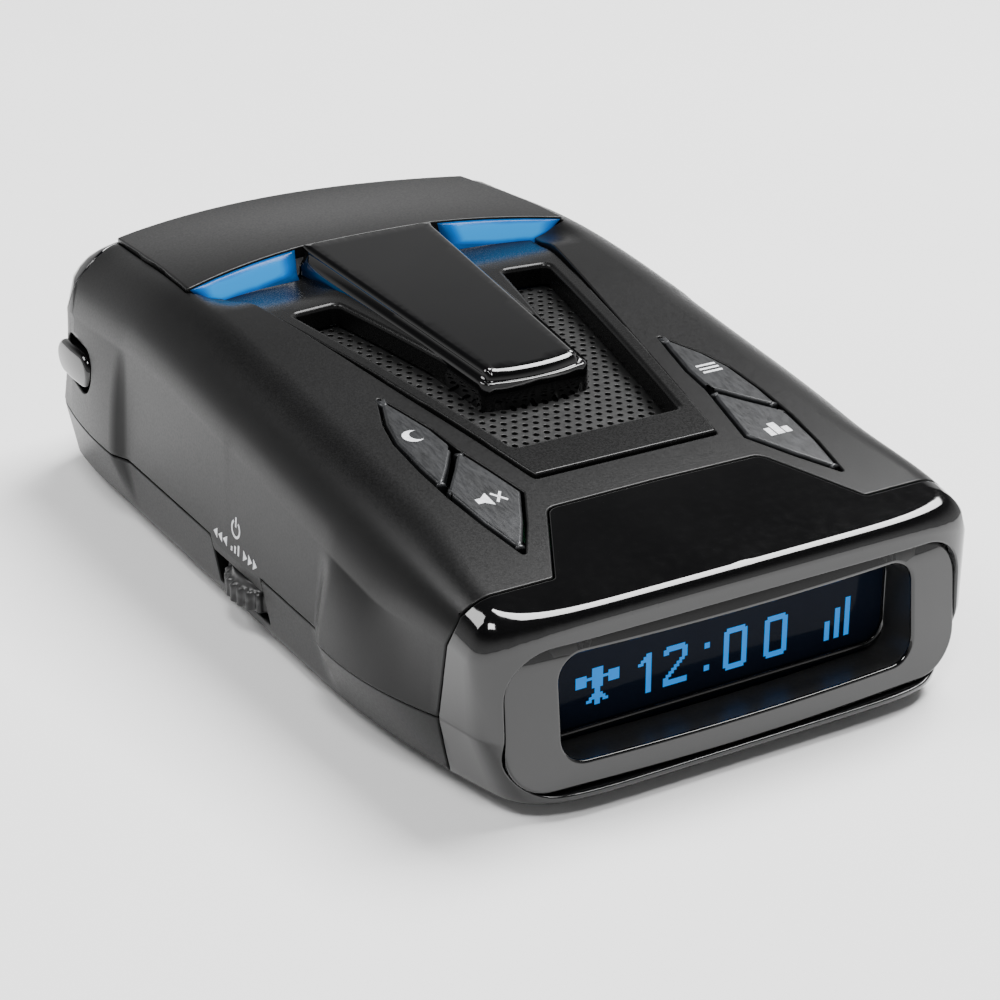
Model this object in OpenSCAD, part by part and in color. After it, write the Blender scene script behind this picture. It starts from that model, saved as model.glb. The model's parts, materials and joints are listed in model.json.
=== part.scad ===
// Windshield radar detector: a two-part matt case, a gloss display hood, a grille plate with a
// raised spine, lit alert lenses, four top keys, a side thumb wheel and a bracket release button.
// +X is the driver's right, +Y points at the windshield, +Z is up; z = 0 is the resting plane.

/* [Case] */
// Length from the display face to the front window
body_l = 115; // [114:0.25:116]
// Half width at the finger recess, on the parting line
grip_half = 33.9; // [33.5:0.1:34.2]
// Half width at the front bulge, on the parting line
front_bulge_half = 35.1; // [34.8:0.1:35.3]
// Half width at the rear bulge, on the parting line
rear_bulge_half = 35.5; // [35.2:0.1:35.6]
// Half width of the flat bottom
bottom_half = 32.7; // [32.4:0.1:32.9]
// Highest point of the top's long arch
crown_z = 31.2; // [31:0.1:31.4]
// How far the arch's highest point lies ahead of the middle
crown_y = 37.1; // [36:0.1:38]
// Height of the seam between the upper and lower shells
part_z = 9.6; // [9.4:0.1:9.8]
// Thickness of the case walls
wall = 2; // [1.8:0.1:2.1]
// Radius of the side edges of the top, beside the display hood
hood_shoulder_r = 4.8; // [4.2:0.1:5.5]
// Radius of the side edges of the top, along the middle
shoulder_r = 7.8; // [7:0.1:8.5]
// Radius of the side edges of the top, at the front
front_shoulder_r = 8; // [7:0.1:8.5]

/* [Display] */
// Half width of the display window
window_half = 22.4; // [21.5:0.1:22.6]
// Lower edge of the display window
window_low = 5.7; // [5.5:0.1:6]
// Upper edge of the display window
window_high = 17.6; // [17.2:0.1:17.8]
// How far the display face leans back, in degrees
face_lean = 5.7; // [5:0.1:6]
// Thickness of the display bezel
bezel_t = 1.6; // [1.4:0.1:1.8]

/* [Grille] */
// Half width of the grille plate at its rear edge
plate_rear_half = 11.7; // [11.4:0.1:11.9]
// Half width of the grille plate at its front edge
plate_front_half = 21.9; // [21.6:0.1:22.1]
// Thickness of the perforated metal
mesh_t = 0.5; // [0.4:0.1:0.6]
// Height of the spine above the plate at its front end
spine_front_h = 2.6; // [2.4:0.1:2.8]

/* [Controls] */
// Travel of the four top keys
key_travel = 0.6; // [0.4:0.1:0.6]
// Radius of the thumb wheel
wheel_r = 7.4; // [7.2:0.1:7.5]
// Number of ribs round the thumb wheel
wheel_ribs = 30; // [24:1:32]
// Radius of the thumb wheel's pin
wheel_pin_r = 1; // [0.9:0.05:1.1]
// Travel of the wheel when it is pressed in for power
wheel_press = 0.8; // [0.5:0.1:0.8]
// Travel of the bracket release button
release_travel = 2; // [1.5:0.1:2]

/* [Sockets] */
// Radius of the power socket's mouth
jack_r = 2.8; // [2.7:0.05:2.9]
// Depth of the power socket
jack_depth = 9.5; // [9:0.5:10]

/* [Hidden] */
$fn = 32;

half_l = body_l / 2;
foot_h = 1.5;               // rubber feet lift the case this far
case_low = foot_h;
edge_r = 1;                 // rounding along the bottom edge
gap = 0.15;                 // seam round the inlaid plates
matt = [0.10, 0.10, 0.11];
gloss = [0.03, 0.03, 0.035];
board_green = [0.05, 0.25, 0.12];
metal = [0.62, 0.63, 0.65];

function clamp01(t) = max(0, min(1, t));
function ease(t) = let (u = clamp01(t)) u * u * (3 - 2 * u);
function mix(a, b, t) = a + (b - a) * t;

// Long arch of the top, and the low rails beside the plate that rise to the alert lenses.
arch_k = 0.000997;
rail_h = 1.15;
lens_y = 24.2;
function arch_z(y) = crown_z - arch_k * pow(y - crown_y, 2);
function rail(y) = y < lens_y ? rail_h * ease((y + 15) / 39)
                              : rail_h * (1 - ease((y - lens_y) / 24));
function shell_z(y) = arch_z(y) + rail(y) - 0.2;

// Half widths in plan at three heights: 0 bottom edge, 1 parting line, 2 shoulder.
joint_y = -46.5;            // where the display hood meets the shells, at the parting line
function front_bulge(y) = front_bulge_half - 0.006 * pow(y - 34, 2);
function rear_bulge(y) = y > joint_y
    ? rear_bulge_half - 0.0116 * pow(y + 29, 2)
    : rear_bulge_half - 0.0116 * pow(joint_y + 29, 2) - 0.17 * (joint_y - y);
function parting_half(y) = y > 4
    ? (y < 34 ? mix(grip_half, front_bulge(y), ease((y - 28.5) / 3)) : front_bulge(y))
    : (y > -29 ? mix(grip_half, rear_bulge(y), ease((-22.5 - y) / 4)) : rear_bulge(y));
function bottom_half_at(y) = bottom_half - (y < -20 ? 0.0043 * pow(y + 20, 2) : 0)
    - (y > 40 ? 0.006 * pow(y - 40, 2) : 0);
function shoulder_half(y) = y < 0 ? 33 - 2.4 * pow(-y / 57.5, 4) : 33.2 - 0.6 * pow(y / 57.5, 4);
function half_at(level, y) = level == 0 ? bottom_half_at(y)
    : level == 1 ? parting_half(y) : shoulder_half(y);

// Each outline runs from the rear centre along the right side to the front centre. The ends are
// superellipse corners: [where the corner starts, its length, two exponents].
rear_end = [[-51.5, half_l - 51.5, 2.5, 8], [-51.5, half_l - 52.1, 2.5, 8], [-51.5, half_l - 53.1, 2.5, 8]];
front_end = [[49.5, half_l - 49.9, 3.2, 4], [49.5, half_l - 49.5, 3.2, 4], [47, half_l - 47.2, 2.6, 3.4]];
rear_steps = 6;
front_steps = 8;
side_ys = [-46.5, -42, -37.5, -33, -29, -26, -23, -16, -6, 6, 16, 28, 30, 32, 36, 41, 45];

function end_point(level, c, dir, phi, t) = let (
        u = pow(sin(phi), 2 / c[2]),
        y = c[0] + dir * (c[1] - t) * u)
    [(half_at(level, y) - t) * pow(cos(phi), 2 / c[3]), y];
function half_outline(level, t) = concat(
    [for (i = [0:rear_steps]) end_point(level, rear_end[level], -1, 90 * (1 - i / rear_steps), t)],
    [for (y = side_ys) [half_at(level, y) - t, y]],
    [for (i = [0:front_steps]) end_point(level, front_end[level], 1, 90 * i / front_steps, t)]);
n_half = rear_steps + 1 + len(side_ys) + front_steps + 1;

// Radius of the top edge at outline point i: crisp along the brow, round along the sides.
brow_r = 1.6;
function edge_radius(i, y) = i < rear_steps ? mix(brow_r, hood_shoulder_r, ease(i / rear_steps))
    : y < 0 ? mix(hood_shoulder_r, shoulder_r, ease((y - rear_end[2][0]) / 18))
    : mix(shoulder_r, front_shoulder_r, ease(y / 45));
function tangent(pts, i) = let (
        a = i == 0 ? [-pts[1][0], pts[1][1]] : pts[i - 1],
        b = i == len(pts) - 1 ? [-pts[i - 1][0], pts[i - 1][1]] : pts[i + 1],
        d = b - a)
    d / norm(d);
function inset(pts, i, d) = let (v = tangent(pts, i), p = pts[i])
    i == 0 || i == len(pts) - 1 ? [0, p[1] - sign(p[1]) * d] : [max(0.01, p[0] - v[1] * d), p[1] + v[0] * d];

// The whole body, drawn in by t on every face.
wall_steps = [0.35, 0.7, 1];
arc_steps = [25, 50, 72, 90];
function wall_ring(p, s, k) = [for (i = [0:n_half - 1]) let (
        q = 1 - pow(1 - k, 1.6),
        x = mix(p[i][0], s[i][0], q),
        y = mix(p[i][1], s[i][1], q))
    [x, y, mix(part_z, shell_z(y) - edge_radius(i, y), k)]];
function arc_ring(s, a, t) = [for (i = [0:n_half - 1]) let (
        r = edge_radius(i, s[i][1]),
        r2 = max(0.3, r - t),
        p = inset(s, i, r2 * (1 - cos(a))))
    [p[0], p[1], shell_z(p[1]) - t - r2 * (1 - sin(a))]];
function body_rings(t) = let (
        b = half_outline(0, t), p = half_outline(1, t), s = half_outline(2, t))
    concat(
        [[for (i = [0:n_half - 1]) let (q = inset(b, i, edge_r)) [q[0], q[1], case_low + t]]],
        [[for (i = [0:n_half - 1]) [b[i][0], b[i][1], case_low + edge_r + t * 0.6]]],
        [[for (i = [0:n_half - 1]) [p[i][0], p[i][1], part_z]]],
        [for (k = wall_steps) wall_ring(p, s, k)],
        [for (a = arc_steps) arc_ring(s, a, t)]);

module body_solid(t) {
    rings = body_rings(t);
    n = 2 * n_half - 2;
    points = [for (r = rings) for (j = [0:n - 1]) j < n_half ? r[j] : [-r[n - j][0], r[n - j][1], r[n - j][2]]];
    top = (len(rings) - 1) * n;
    function other(i) = (n - i) % n;
    sides = [for (k = [0:len(rings) - 2]) for (j = [0:n - 1]) let (
            a = k * n + j, b = k * n + (j + 1) % n, c = a + n, d = b + n)
        each [[a, c, d], [a, d, b]]];
    caps = [for (i = [0:n_half - 2]) each concat(
        i > 0 ? [[top + i, top + other(i), top + other(i + 1)], [i, other(i + 1), other(i)]] : [],
        i < n_half - 2 ? [[top + i, top + other(i + 1), top + i + 1], [i, i + 1, other(i + 1)]] : [])];
    polyhedron(points, concat(sides, caps), convexity = 6);
}

// A bent bar along Y with straight sides: widths and heights are functions of y.
module ribbon(y0, y1, n, top_half, low_half, high, low) {
    ys = [for (i = [0:n]) mix(y0, y1, i / n)];
    points = [for (y = ys) each [[-top_half(y), y, high(y)], [top_half(y), y, high(y)],
        [low_half(y), y, low(y)], [-low_half(y), y, low(y)]]];
    skin = [for (i = [0:n - 1]) for (j = [0:3]) let (
            a = 4 * i + j, b = 4 * i + (j + 1) % 4)
        each [[a, b + 4, b], [a, a + 4, b + 4]]];
    ends = [[0, 2, 3], [0, 1, 2], [4 * n, 4 * n + 2, 4 * n + 1], [4 * n, 4 * n + 3, 4 * n + 2]];
    polyhedron(points, concat(skin, ends), convexity = 4);
}

module mirrored() {
    children();
    mirror([1, 0, 0]) children();
}

module prism(points, low = -5, high = 60) {
    translate([0, 0, low]) linear_extrude(high - low) polygon(points);
}

// ---- outlines of the inlaid pieces, right half or right side, in plan ----
plate_rear_y = -32.4;
plate_front_y = 24.6;
function plate_half(y) = mix(plate_rear_half, plate_front_half, (y - plate_rear_y) / (plate_front_y - plate_rear_y));
mesh_rear_y = -26.4;
mesh_front_y = 12;
mesh_rear_half = 10.8;
mesh_front_half = 17.5;
mesh_depth = 2.85;          // the mesh lies this far below the arch
function mesh_half(y) = mix(mesh_rear_half, mesh_front_half, (y - mesh_rear_y) / (mesh_front_y - mesh_rear_y));
function both_sides(pts) = concat(pts, [for (i = [len(pts) - 1:-1:0]) [-pts[i][0], pts[i][1]]]);

key_front_tip = [18.8, -9.6];
key_outer = [22.7, -17.8];
key_rear_tip = [20.2, -44.7];
key_inner = [13.7, -32.9];
key_split_in = mix(key_front_tip, key_inner, 0.52);
key_split_out = mix(key_outer, key_rear_tip, 0.4);
key_well = [key_front_tip, key_outer, key_rear_tip, key_inner];

tongue_front = [13.9, -39.6];
tongue_notch = [19.9, -49.8];
tongue = both_sides([[tongue_notch[0], -70], tongue_notch, tongue_front]);

cap_rear = [26.5, 24.2];
cap_front = [25.4, 48];
function front_arc(x) = 55.2 - 0.0114 * x * x;
cap_mid = [9.5, 28.5];
cap_well = both_sides(concat([cap_mid, [21.7, 24.4], [26.6, 24], [cap_front[0] + 0.12, cap_front[1]]],
    [for (x = [22:-4:2]) [x, front_arc(x)]]));

// Front cap surface: the arch plus a swelling that is highest beside the spine.
function cap_swell(x, y) = (spine_front_h - 0.0018 * x * x) * (1 - ease((y - 24) / 33));
function cap_z(x, y) = arch_z(y) + cap_swell(x, y);

// The hood joint leans back, in line with the display face.
function hood_plane_y(z) = -44.9 - 0.19 * z;
module rear_space(d) {
    rotate([90, 0, 90]) translate([0, 0, -50]) linear_extrude(100)
        polygon([[-80, -10], [hood_plane_y(-10) + d, -10], [hood_plane_y(60) + d, 60], [-80, 60]]);
}

// ---- screws, posts and ribs ----
boss_xy = [[27, -38], [27, 34]];
boss_r = 2.6;
screw_r = 1.25;
standoff_xy = [[20, -36], [20, 16]];
board_z = 10.4;
board_t = 1.6;
board_top = board_z + board_t;

// ---- side controls ----
wheel_x = -27.3;
wheel_y = -2.5;
wheel_low = 3.75;
wheel_high = 7.2;
slot_low = 3.4;
slot_high = 7.6;
slot_front = 4.2;
slot_rear = -9.1;
release_y = 44.4;
release_z = 17.2;
release_half = 5.2;
release_r = 2.5;
jack_y = 14;
jack_z = 16.4;
jack_mouth_x = 32.4;
usb_y = 0.5;

module slotted(half, r, h) {
    linear_extrude(h) union() {
        translate([half - r, 0]) circle(r);
        translate([r - half, 0]) circle(r);
        square([2 * (half - r), 2 * r], center = true);
    }
}

// ---- casing ----
module upper_shell() {
    color(matt) union() {
        difference() {
            intersection() {
                body_solid(0);
                union() {
                    translate([-60, -60, part_z]) cube([120, 120, 60]);
                    translate([-60, slot_rear, slot_high]) cube([40, slot_front - slot_rear, 10]);
                }
            }
            body_solid(wall);
            rear_space(gap);
            prism(both_sides([[plate_half(plate_rear_y) + gap, plate_rear_y - gap],
                [plate_half(plate_front_y) + gap, plate_front_y + gap], [cap_mid[0], cap_mid[1] + 1]]), 15);
            prism(cap_well, 15);
            mirrored() prism(key_well, 15);
            prism([for (p = tongue) [p[0] * 1.012, p[1] + gap]], 15);
            front_cut(gap);
            translate([-40, release_y, release_z]) rotate([90, 0, 90])
                slotted(release_half + 0.5, release_r + 0.5, 12);
            translate([25, jack_y, jack_z]) rotate([0, 90, 0]) cylinder(r = 3.9, h = 12);
            translate([25, usb_y - 4.4, board_top - 0.35]) cube([12, 8.8, 3.8]);
        }
        intersection() {
            body_solid(wall - 0.3);
            mirrored() for (p = boss_xy) difference() {
                union() {
                    translate([p[0], p[1], part_z]) cylinder(r = boss_r, h = 20);
                    for (a = [90, 270]) translate([p[0], p[1], part_z + 2]) rotate([0, 0, a])
                        hull() {
                            translate([0, -0.5, 16]) cube([7, 1, 2]);
                            translate([0, -0.5, 0]) cube([boss_r + 0.4, 1, 2]);
                        }
                }
                translate([p[0], p[1], part_z - 1]) cylinder(r = screw_r + 0.06, h = 9);
            }
        }
    }
}

// The front window's share of the nose: a rim over the top edge and the face below it.
module front_cut(d) {
    rim = concat([[40, 70], [40, front_arc(32) - d]], [for (x = [30:-5:-30]) [x, front_arc(x) - d]],
        [[-40, front_arc(32) - d], [-40, 70]]);
    prism(rim, 27);
    translate([-40, 52.6 - d, part_z + 0.8 - d]) cube([80, 20, 18]);
}

module front_window() {
    color([0.02, 0.02, 0.025]) intersection() {
        union() {
            difference() {
                body_solid(0);
                body_solid(1.6);
            }
            for (x = [-16:4:16]) hull() {
                translate([x, half_l - 2, 13]) cube([0.8, 1, 12]);
                translate([x, half_l - 3.4, 14]) cube([0.8, 1, 10]);
            }
        }
        front_cut(0);
    }
}

module lower_shell() {
    color(matt) union() {
        difference() {
            intersection() {
                body_solid(0);
                translate([-60, -60, 0]) cube([120, 120, part_z - gap]);
            }
            body_solid(wall - 0.2);
            rear_space(gap);
            translate([-60, slot_rear, slot_low]) cube([32, slot_front - slot_rear, 20]);
            translate([-29, 41, 4.8]) cube([22, 30, 2.4]);
            mirrored() for (p = boss_xy) translate([p[0], p[1], 0]) cylinder(r = 2.5, h = 4);
        }
        intersection() {
            body_solid(0.6);
            union() {
                mirrored() for (p = boss_xy) difference() {
                    translate([p[0], p[1], case_low + 0.6]) cylinder(r = 3.6, h = part_z - gap - case_low - 0.6);
                    translate([p[0], p[1], 0]) cylinder(r = 2.5, h = 5);
                    translate([p[0], p[1], 0]) cylinder(r = 1.6, h = 20);
                }
                mirrored() for (p = standoff_xy) {
                    difference() {
                        translate([p[0], p[1], 3]) cylinder(r = 2.2, h = board_z - 3);
                        translate([p[0], p[1], 5]) cylinder(r = 0.9, h = 20);
                    }
                    for (a = [90, 270]) translate([p[0], p[1], 3]) rotate([0, 0, a]) hull() {
                        translate([1.6, -0.5, 0]) cube([3.6, 1, 0.6]);
                        translate([1.6, -0.5, 0]) cube([0.5, 1, 6]);
                    }
                }
                difference() {
                    translate([-31, 39.4, 3.2]) cube([26, 20, 5.6]);
                    translate([-29, 41, 4.8]) cube([22, 60, 2.4]);
                    translate([-31.2, release_y - 2.3, 3]) cube([5.4, 4.6, 10]);
                }
                translate([-22.6, release_y - 2, 8]) cube([1.4, 3.2, 10.4]);
            }
        }
    }
}

module display_hood() {
    color(gloss) difference() {
        union() {
            intersection() {
                body_solid(0);
                rear_space(0);
            }
            intersection() {
                difference() {
                    body_solid(0.25);
                    body_solid(wall);
                }
                prism(tongue, 15);
            }
            intersection() {
                body_solid(wall - 0.3);
                for (x = [-14:4:14]) hull() {
                    translate([x - 0.5, -54.5, 20]) cube([1, 9.5, 6]);
                    translate([x - 0.5, -54.5, 19.6]) cube([1, 4, 1]);
                }
            }
        }
        hood_hollow();
        face_frame() translate([0, 0, -8]) rounded_plate(bezel_half + gap, bezel_low - gap, bezel_high + gap, bezel_r + gap, 20);
    }
}

module hood_hollow() {
    intersection() {
        body_solid(wall);
        translate([-60, -54.6, 0]) cube([120, 60, 60]);
        translate([-60, -60, -1]) cube([120, 60, 20.6]);
    }
    intersection() {
        body_solid(wall);
        translate([-60, -45, 0]) cube([120, 60, 60]);
    }
}

// Local frame of the leaning display face: X across, Y up the face, Z out towards the driver.
face_z0 = 4;
module face_frame() {
    translate([0, -half_l, face_z0]) rotate([90 - face_lean, 0, 0]) children();
}
bezel_half = 27.2;
bezel_low = -1.1;
bezel_high = 15.3;
bezel_r = 4.8;
bezel_set = 0.9;            // the bezel sits this far behind the foremost line of the face
module rounded_plate(half, low, high, r, t) {
    linear_extrude(t) union() {
        for (x = [r - half, half - r]) for (y = [low + r, high - r]) translate([x, y]) circle(r);
        translate([-half, low + r]) square([2 * half, high - low - 2 * r]);
        translate([r - half, low]) square([2 * (half - r), high - low]);
    }
}

module display_bezel() {
    low = window_low - face_z0;
    high = window_high - face_z0;
    color(gloss) difference() {
        union() {
            face_frame() translate([0, 0, -bezel_t - bezel_set]) rounded_plate(bezel_half, bezel_low, bezel_high, bezel_r, bezel_t);
            face_frame() translate([0, 0, -6.8]) rounded_plate(window_half + 1.1, low - 1.1, high + 1.1, 3.6, 5.6);
        }
        face_frame() translate([0, 0, -9]) rounded_plate(window_half, low, high, 2.8, 20);
        translate([-40, glass_y - 0.05, -5]) cube([80, 20, 40]);
    }
}

glass_y = -50.5;
module display_window() {
    color([0.02, 0.03, 0.06, 0.6]) translate([-23.2, glass_y, 4]) cube([46.4, 1.4, 14.6]);
}
module oled_display() {
    color([0.05, 0.35, 0.6]) translate([-21, glass_y + 1.4, 5]) cube([42, 1.5, 12.4]);
}
module display_board() {
    color(board_green) translate([-24, glass_y + 2.9, 4.3]) cube([48, 1.2, 14.6]);
}
module display_flex() {
    back = glass_y + 4.1;
    color([0.65, 0.35, 0.1]) rotate([90, 0, 90]) translate([0, 0, -6]) linear_extrude(12)
        polygon([[back, 6], [back + 0.3, 6], [back + 0.3, 8.4], [-41, board_z - 0.35], [-38, board_z - 0.35],
            [-38, board_z], [-41.2, board_z], [back, 8.8]]);
}

// ---- top plates ----
module grille_frame() {
    color(matt) difference() {
        union() {
            ribbon(plate_rear_y, plate_front_y, 12, function (y) plate_half(y), function (y) plate_half(y),
                function (y) arch_z(y) + 0.25, function (y) arch_z(y) - 2.4);
            ribbon(plate_rear_y - 1, plate_front_y - 0.4, 12, function (y) plate_half(y) + 0.9,
                function (y) plate_half(y) + 0.9, function (y) arch_z(y) - 2.32, function (y) arch_z(y) - 2.8);
        }
        prism(both_sides([[mesh_half(mesh_rear_y), mesh_rear_y], [mesh_half(mesh_front_y), mesh_front_y]]), 15);
        for (y = spine_posts) translate([0, y, 20]) cylinder(r = 1.65, h = 20);
    }
}
module speaker_mesh() {
    color([0.15, 0.15, 0.16]) ribbon(mesh_rear_y - 1.2, mesh_front_y + 1.2, 10,
        function (y) mesh_half(y) + 0.9, function (y) mesh_half(y) + 0.9,
        function (y) arch_z(y) - mesh_depth, function (y) arch_z(y) - mesh_depth - mesh_t);
}

spine_rear_y = -12.8;
spine_posts = [15.5, 21];
spine_front_y = 28.1;
function spine_half(y) = mix(6.1, 9.1, (y - spine_rear_y) / (spine_front_y - spine_rear_y));
function spine_z(y) = mix(30.2, crown_z + spine_front_h - 0.15, (y - spine_rear_y) / (spine_front_y - spine_rear_y));
module spine_cover() {
    color(gloss) union() {
        ribbon(spine_rear_y, spine_front_y, 8, function (y) spine_half(y), function (y) spine_half(y) + 1,
            function (y) spine_z(y), function (y) arch_z(y) + 0.29);
        for (y = spine_posts) translate([0, y, arch_z(y) - 1]) cylinder(r = 1.6, h = 2.5);
    }
}

module front_cap() {
    rows = 8;
    cols = 8;
    // Grid from the curved rear edge to the arc along the front.
    function rear_edge(x) = abs(x) < cap_mid[0] ? cap_mid[1]
        : mix(cap_mid[1], cap_rear[1], (abs(x) - cap_mid[0]) / (cap_rear[0] - cap_mid[0]));
    function cell(i, j) = let (
            s = 2 * j / cols - 1,
            k = i / rows,
            x = s * mix(cap_rear[0], cap_front[0], k),
            y = mix(rear_edge(x), front_arc(x) - gap, k))
        [x, y];
    top = [for (i = [0:rows]) for (j = [0:cols]) let (p = cell(i, j)) [p[0], p[1], cap_z(p[0], p[1])]];
    low = [for (p = top) [p[0], p[1], p[2] - 1.5]];
    m = cols + 1;
    n = len(top);
    faces = concat(
        [for (i = [0:rows - 1]) for (j = [0:cols - 1]) let (a = i * m + j)
            each [[a, a + m, a + m + 1], [a, a + m + 1, a + 1],
                [n + a, n + a + m + 1, n + a + m], [n + a, n + a + 1, n + a + m + 1]]],
        [for (j = [0:cols - 1]) each let (b = rows * m + j)
            [[j, j + 1, n + j + 1], [j, n + j + 1, n + j], [b, n + b, n + b + 1], [b, n + b + 1, b + 1]]],
        [for (i = [0:rows - 1]) each let (a = i * m, b = i * m + cols)
            [[a, n + a, n + a + m], [a, n + a + m, a + m], [b, b + m, n + b + m], [b, n + b + m, n + b]]]);
    color(matt) polyhedron(concat(top, low), faces, convexity = 6);
}

// Wedge of clear blue plastic under the rear edge of the cap.
module alert_lens(side) {
    tip = [26.3, 24.25];
    inner = [10.2, 28.2];
    corner = [21.9, 24.7];
    face = [[tip[0], tip[1], cap_z(26.3, 24.2) - 1.6], [inner[0], inner[1], cap_z(10, 28.4) - 1.6],
        [10.6, 26.4, arch_z(26) - 1.1], [corner[0], corner[1], arch_z(24) - 1.7]];
    back = [for (p = face) p + [0, 1.6, -0.6]];
    points = concat(face, back);
    color([0.1, 0.55, 0.95]) mirror([side < 0 ? 1 : 0, 0, 0]) polyhedron(points, [
        [0, 1, 2], [0, 2, 3], [4, 6, 5], [4, 7, 6],
        [0, 4, 5], [0, 5, 1], [1, 5, 6], [1, 6, 2], [2, 6, 7], [2, 7, 3], [3, 7, 4], [3, 4, 0]]);
}
module alert_lens_left() { alert_lens(-1); }
module alert_lens_right() { alert_lens(1); }
module alert_leds() {
    color("white") mirrored() translate([12, 30.3, 27.4]) cube([10, 1.2, 2.6]);
}

// ---- keys ----
cap_drop = 1.5;
key_board_z = 17;
pad_top = 21;
module key_cap(outline, stem) {
    low = pad_top + key_travel + 0.1;
    color([0.2, 0.2, 0.21]) union() {
        intersection() {
            prism(outline, 20, 32);
            ribbon(-50, -5, 12, function (y) 40, function (y) 40,
                function (y) arch_z(y) - 0.05, function (y) arch_z(y) - cap_drop);
        }
        translate([stem[0], stem[1], low]) cylinder(r = 1, h = arch_z(stem[1]) - 1 - low);
    }
}
function shrink(pts, c, k) = [for (p = pts) c + (p - c) * k];
front_key = shrink([key_front_tip, key_outer, key_split_out, key_split_in], [19.2, -20], 0.94);
rear_key = shrink([key_split_in, key_split_out, key_rear_tip, key_inner], [18.4, -32], 0.94);
front_stem = [19.3, -19.5];
rear_stem = [18.2, -33];
module key_night_mode() { mirror([1, 0, 0]) key_cap(front_key, front_stem); }
module key_mute() { mirror([1, 0, 0]) key_cap(rear_key, rear_stem); }
module key_settings() { key_cap(front_key, front_stem); }
module key_city_mode() { key_cap(rear_key, rear_stem); }

module key_pad_right() {
    color([0.3, 0.3, 0.32]) union() {
        translate([15, -38, 20.2]) cube([7.5, 24, 0.4]);
        for (p = [front_stem, rear_stem]) translate([p[0], p[1], 20.2]) cylinder(r = 2, h = pad_top - 20.2);
    }
}
module key_pad_left() { mirror([1, 0, 0]) key_pad_right(); }
module key_board_right() {
    color(board_green) translate([14.5, -40, key_board_z]) cube([8.5, 27, 1.2]);
}
module key_board_left() { mirror([1, 0, 0]) key_board_right(); }
module key_switches() {
    color(metal) mirrored() for (p = [front_stem, rear_stem])
        translate([p[0] - 2.25, p[1] - 2.25, key_board_z + 1.2]) cube([4.5, 4.5, 2]);
}

// ---- electronics ----
module main_board() {
    color(board_green) difference() {
        translate([-24, -42, board_z]) cube([48, 62, board_t]);
        mirrored() for (p = standoff_xy) translate([p[0], p[1], board_z - 1]) cylinder(r = 1, h = 4);
    }
}
module capacitors() {
    color([0.1, 0.1, 0.3]) for (p = [[-12, -34], [-6.5, -34], [8, -35]])
        translate([p[0], p[1], board_top]) cylinder(r = 2.4, h = 5.5);
}
horn_x = 5;
module horn_antenna() {
    color(metal) difference() {
        translate([horn_x - 13, 22, 9]) cube([26, 28, 15]);
        horn_mouth();
    }
}
// The flared mouth that faces the windshield.
module horn_mouth() {
    y0 = 26;
    y1 = 50.1;
    w = [4, 11.8];
    h = [2.2, 6.4];
    points = [for (i = [0, 1]) each [[-w[i], [y0, y1][i], h[i]], [w[i], [y0, y1][i], h[i]],
        [w[i], [y0, y1][i], -h[i]], [-w[i], [y0, y1][i], -h[i]]]];
    translate([horn_x, 0, 16.5]) polyhedron(points, [[0, 2, 3], [0, 1, 2], [4, 6, 5], [4, 7, 6],
        [0, 5, 1], [0, 4, 5], [1, 6, 2], [1, 5, 6], [2, 7, 3], [2, 6, 7], [3, 4, 0], [3, 7, 4]]);
}
module rf_shield() {
    color(metal) difference() {
        translate([-6, -1, board_top]) cube([22, 20.5, 2.6]);
        translate([-5.5, -0.5, board_top - 1]) cube([21, 19.5, 3.2]);
    }
}
module laser_sensor() {
    color([0.2, 0.05, 0.2]) union() {
        translate([-22, 46, 13]) cube([10, 3, 9]);
        translate([-17, 49, 17.5]) rotate([-90, 0, 0]) cylinder(r = 3, h = 2);
    }
}
module gps_antenna() {
    color([0.75, 0.68, 0.55]) union() {
        translate([-23, 4, board_top]) cube([15, 15, 3.4]);
        translate([-20, 7, board_top + 3.4]) cube([9, 9, 0.3]);
    }
}
speaker_y = -5;
speaker_low = 19;
speaker_high = 22.5;
module speaker_frame() {
    color([0.25, 0.25, 0.27]) translate([0, speaker_y, 0]) difference() {
        translate([0, 0, speaker_low]) cylinder(r = 14, h = speaker_high - speaker_low);
        translate([0, 0, speaker_low + 1]) cylinder(r = 12.6, h = 10);
        translate([0, 0, speaker_low - 1]) cylinder(r = 5.4, h = 10);
    }
}
module speaker_cone() {
    color([0.08, 0.08, 0.08]) translate([0, speaker_y, 0]) rotate_extrude()
        polygon([[0, speaker_low + 1.4], [5, speaker_low + 1.2], [12.5, speaker_high - 0.9], [12.5, speaker_high - 0.4],
            [5, speaker_low + 1.7], [0, speaker_low + 2.2]]);
}
module speaker_magnet() {
    color(metal) translate([0, speaker_y, board_top + 2.9]) cylinder(r = 8, h = speaker_low - board_top - 2.9);
}

module dc_jack() {
    color([0.08, 0.08, 0.08]) difference() {
        union() {
            translate([19.4, jack_y - 4.4, board_top]) cube([11.2, 8.8, 8.6]);
            translate([25, jack_y, jack_z]) rotate([0, 90, 0]) cylinder(r = 3.6, h = jack_mouth_x - 25);
        }
        translate([jack_mouth_x - jack_depth, jack_y, jack_z]) rotate([0, 90, 0]) cylinder(r = jack_r, h = jack_depth + 1);
    }
}
module usb_port() {
    color(metal) difference() {
        translate([22.5, usb_y - 3.9, board_top]) cube([9.6, 7.8, 3.1]);
        translate([25, usb_y - 3.5, board_top + 0.4]) cube([8, 7, 2.3]);
    }
}

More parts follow.
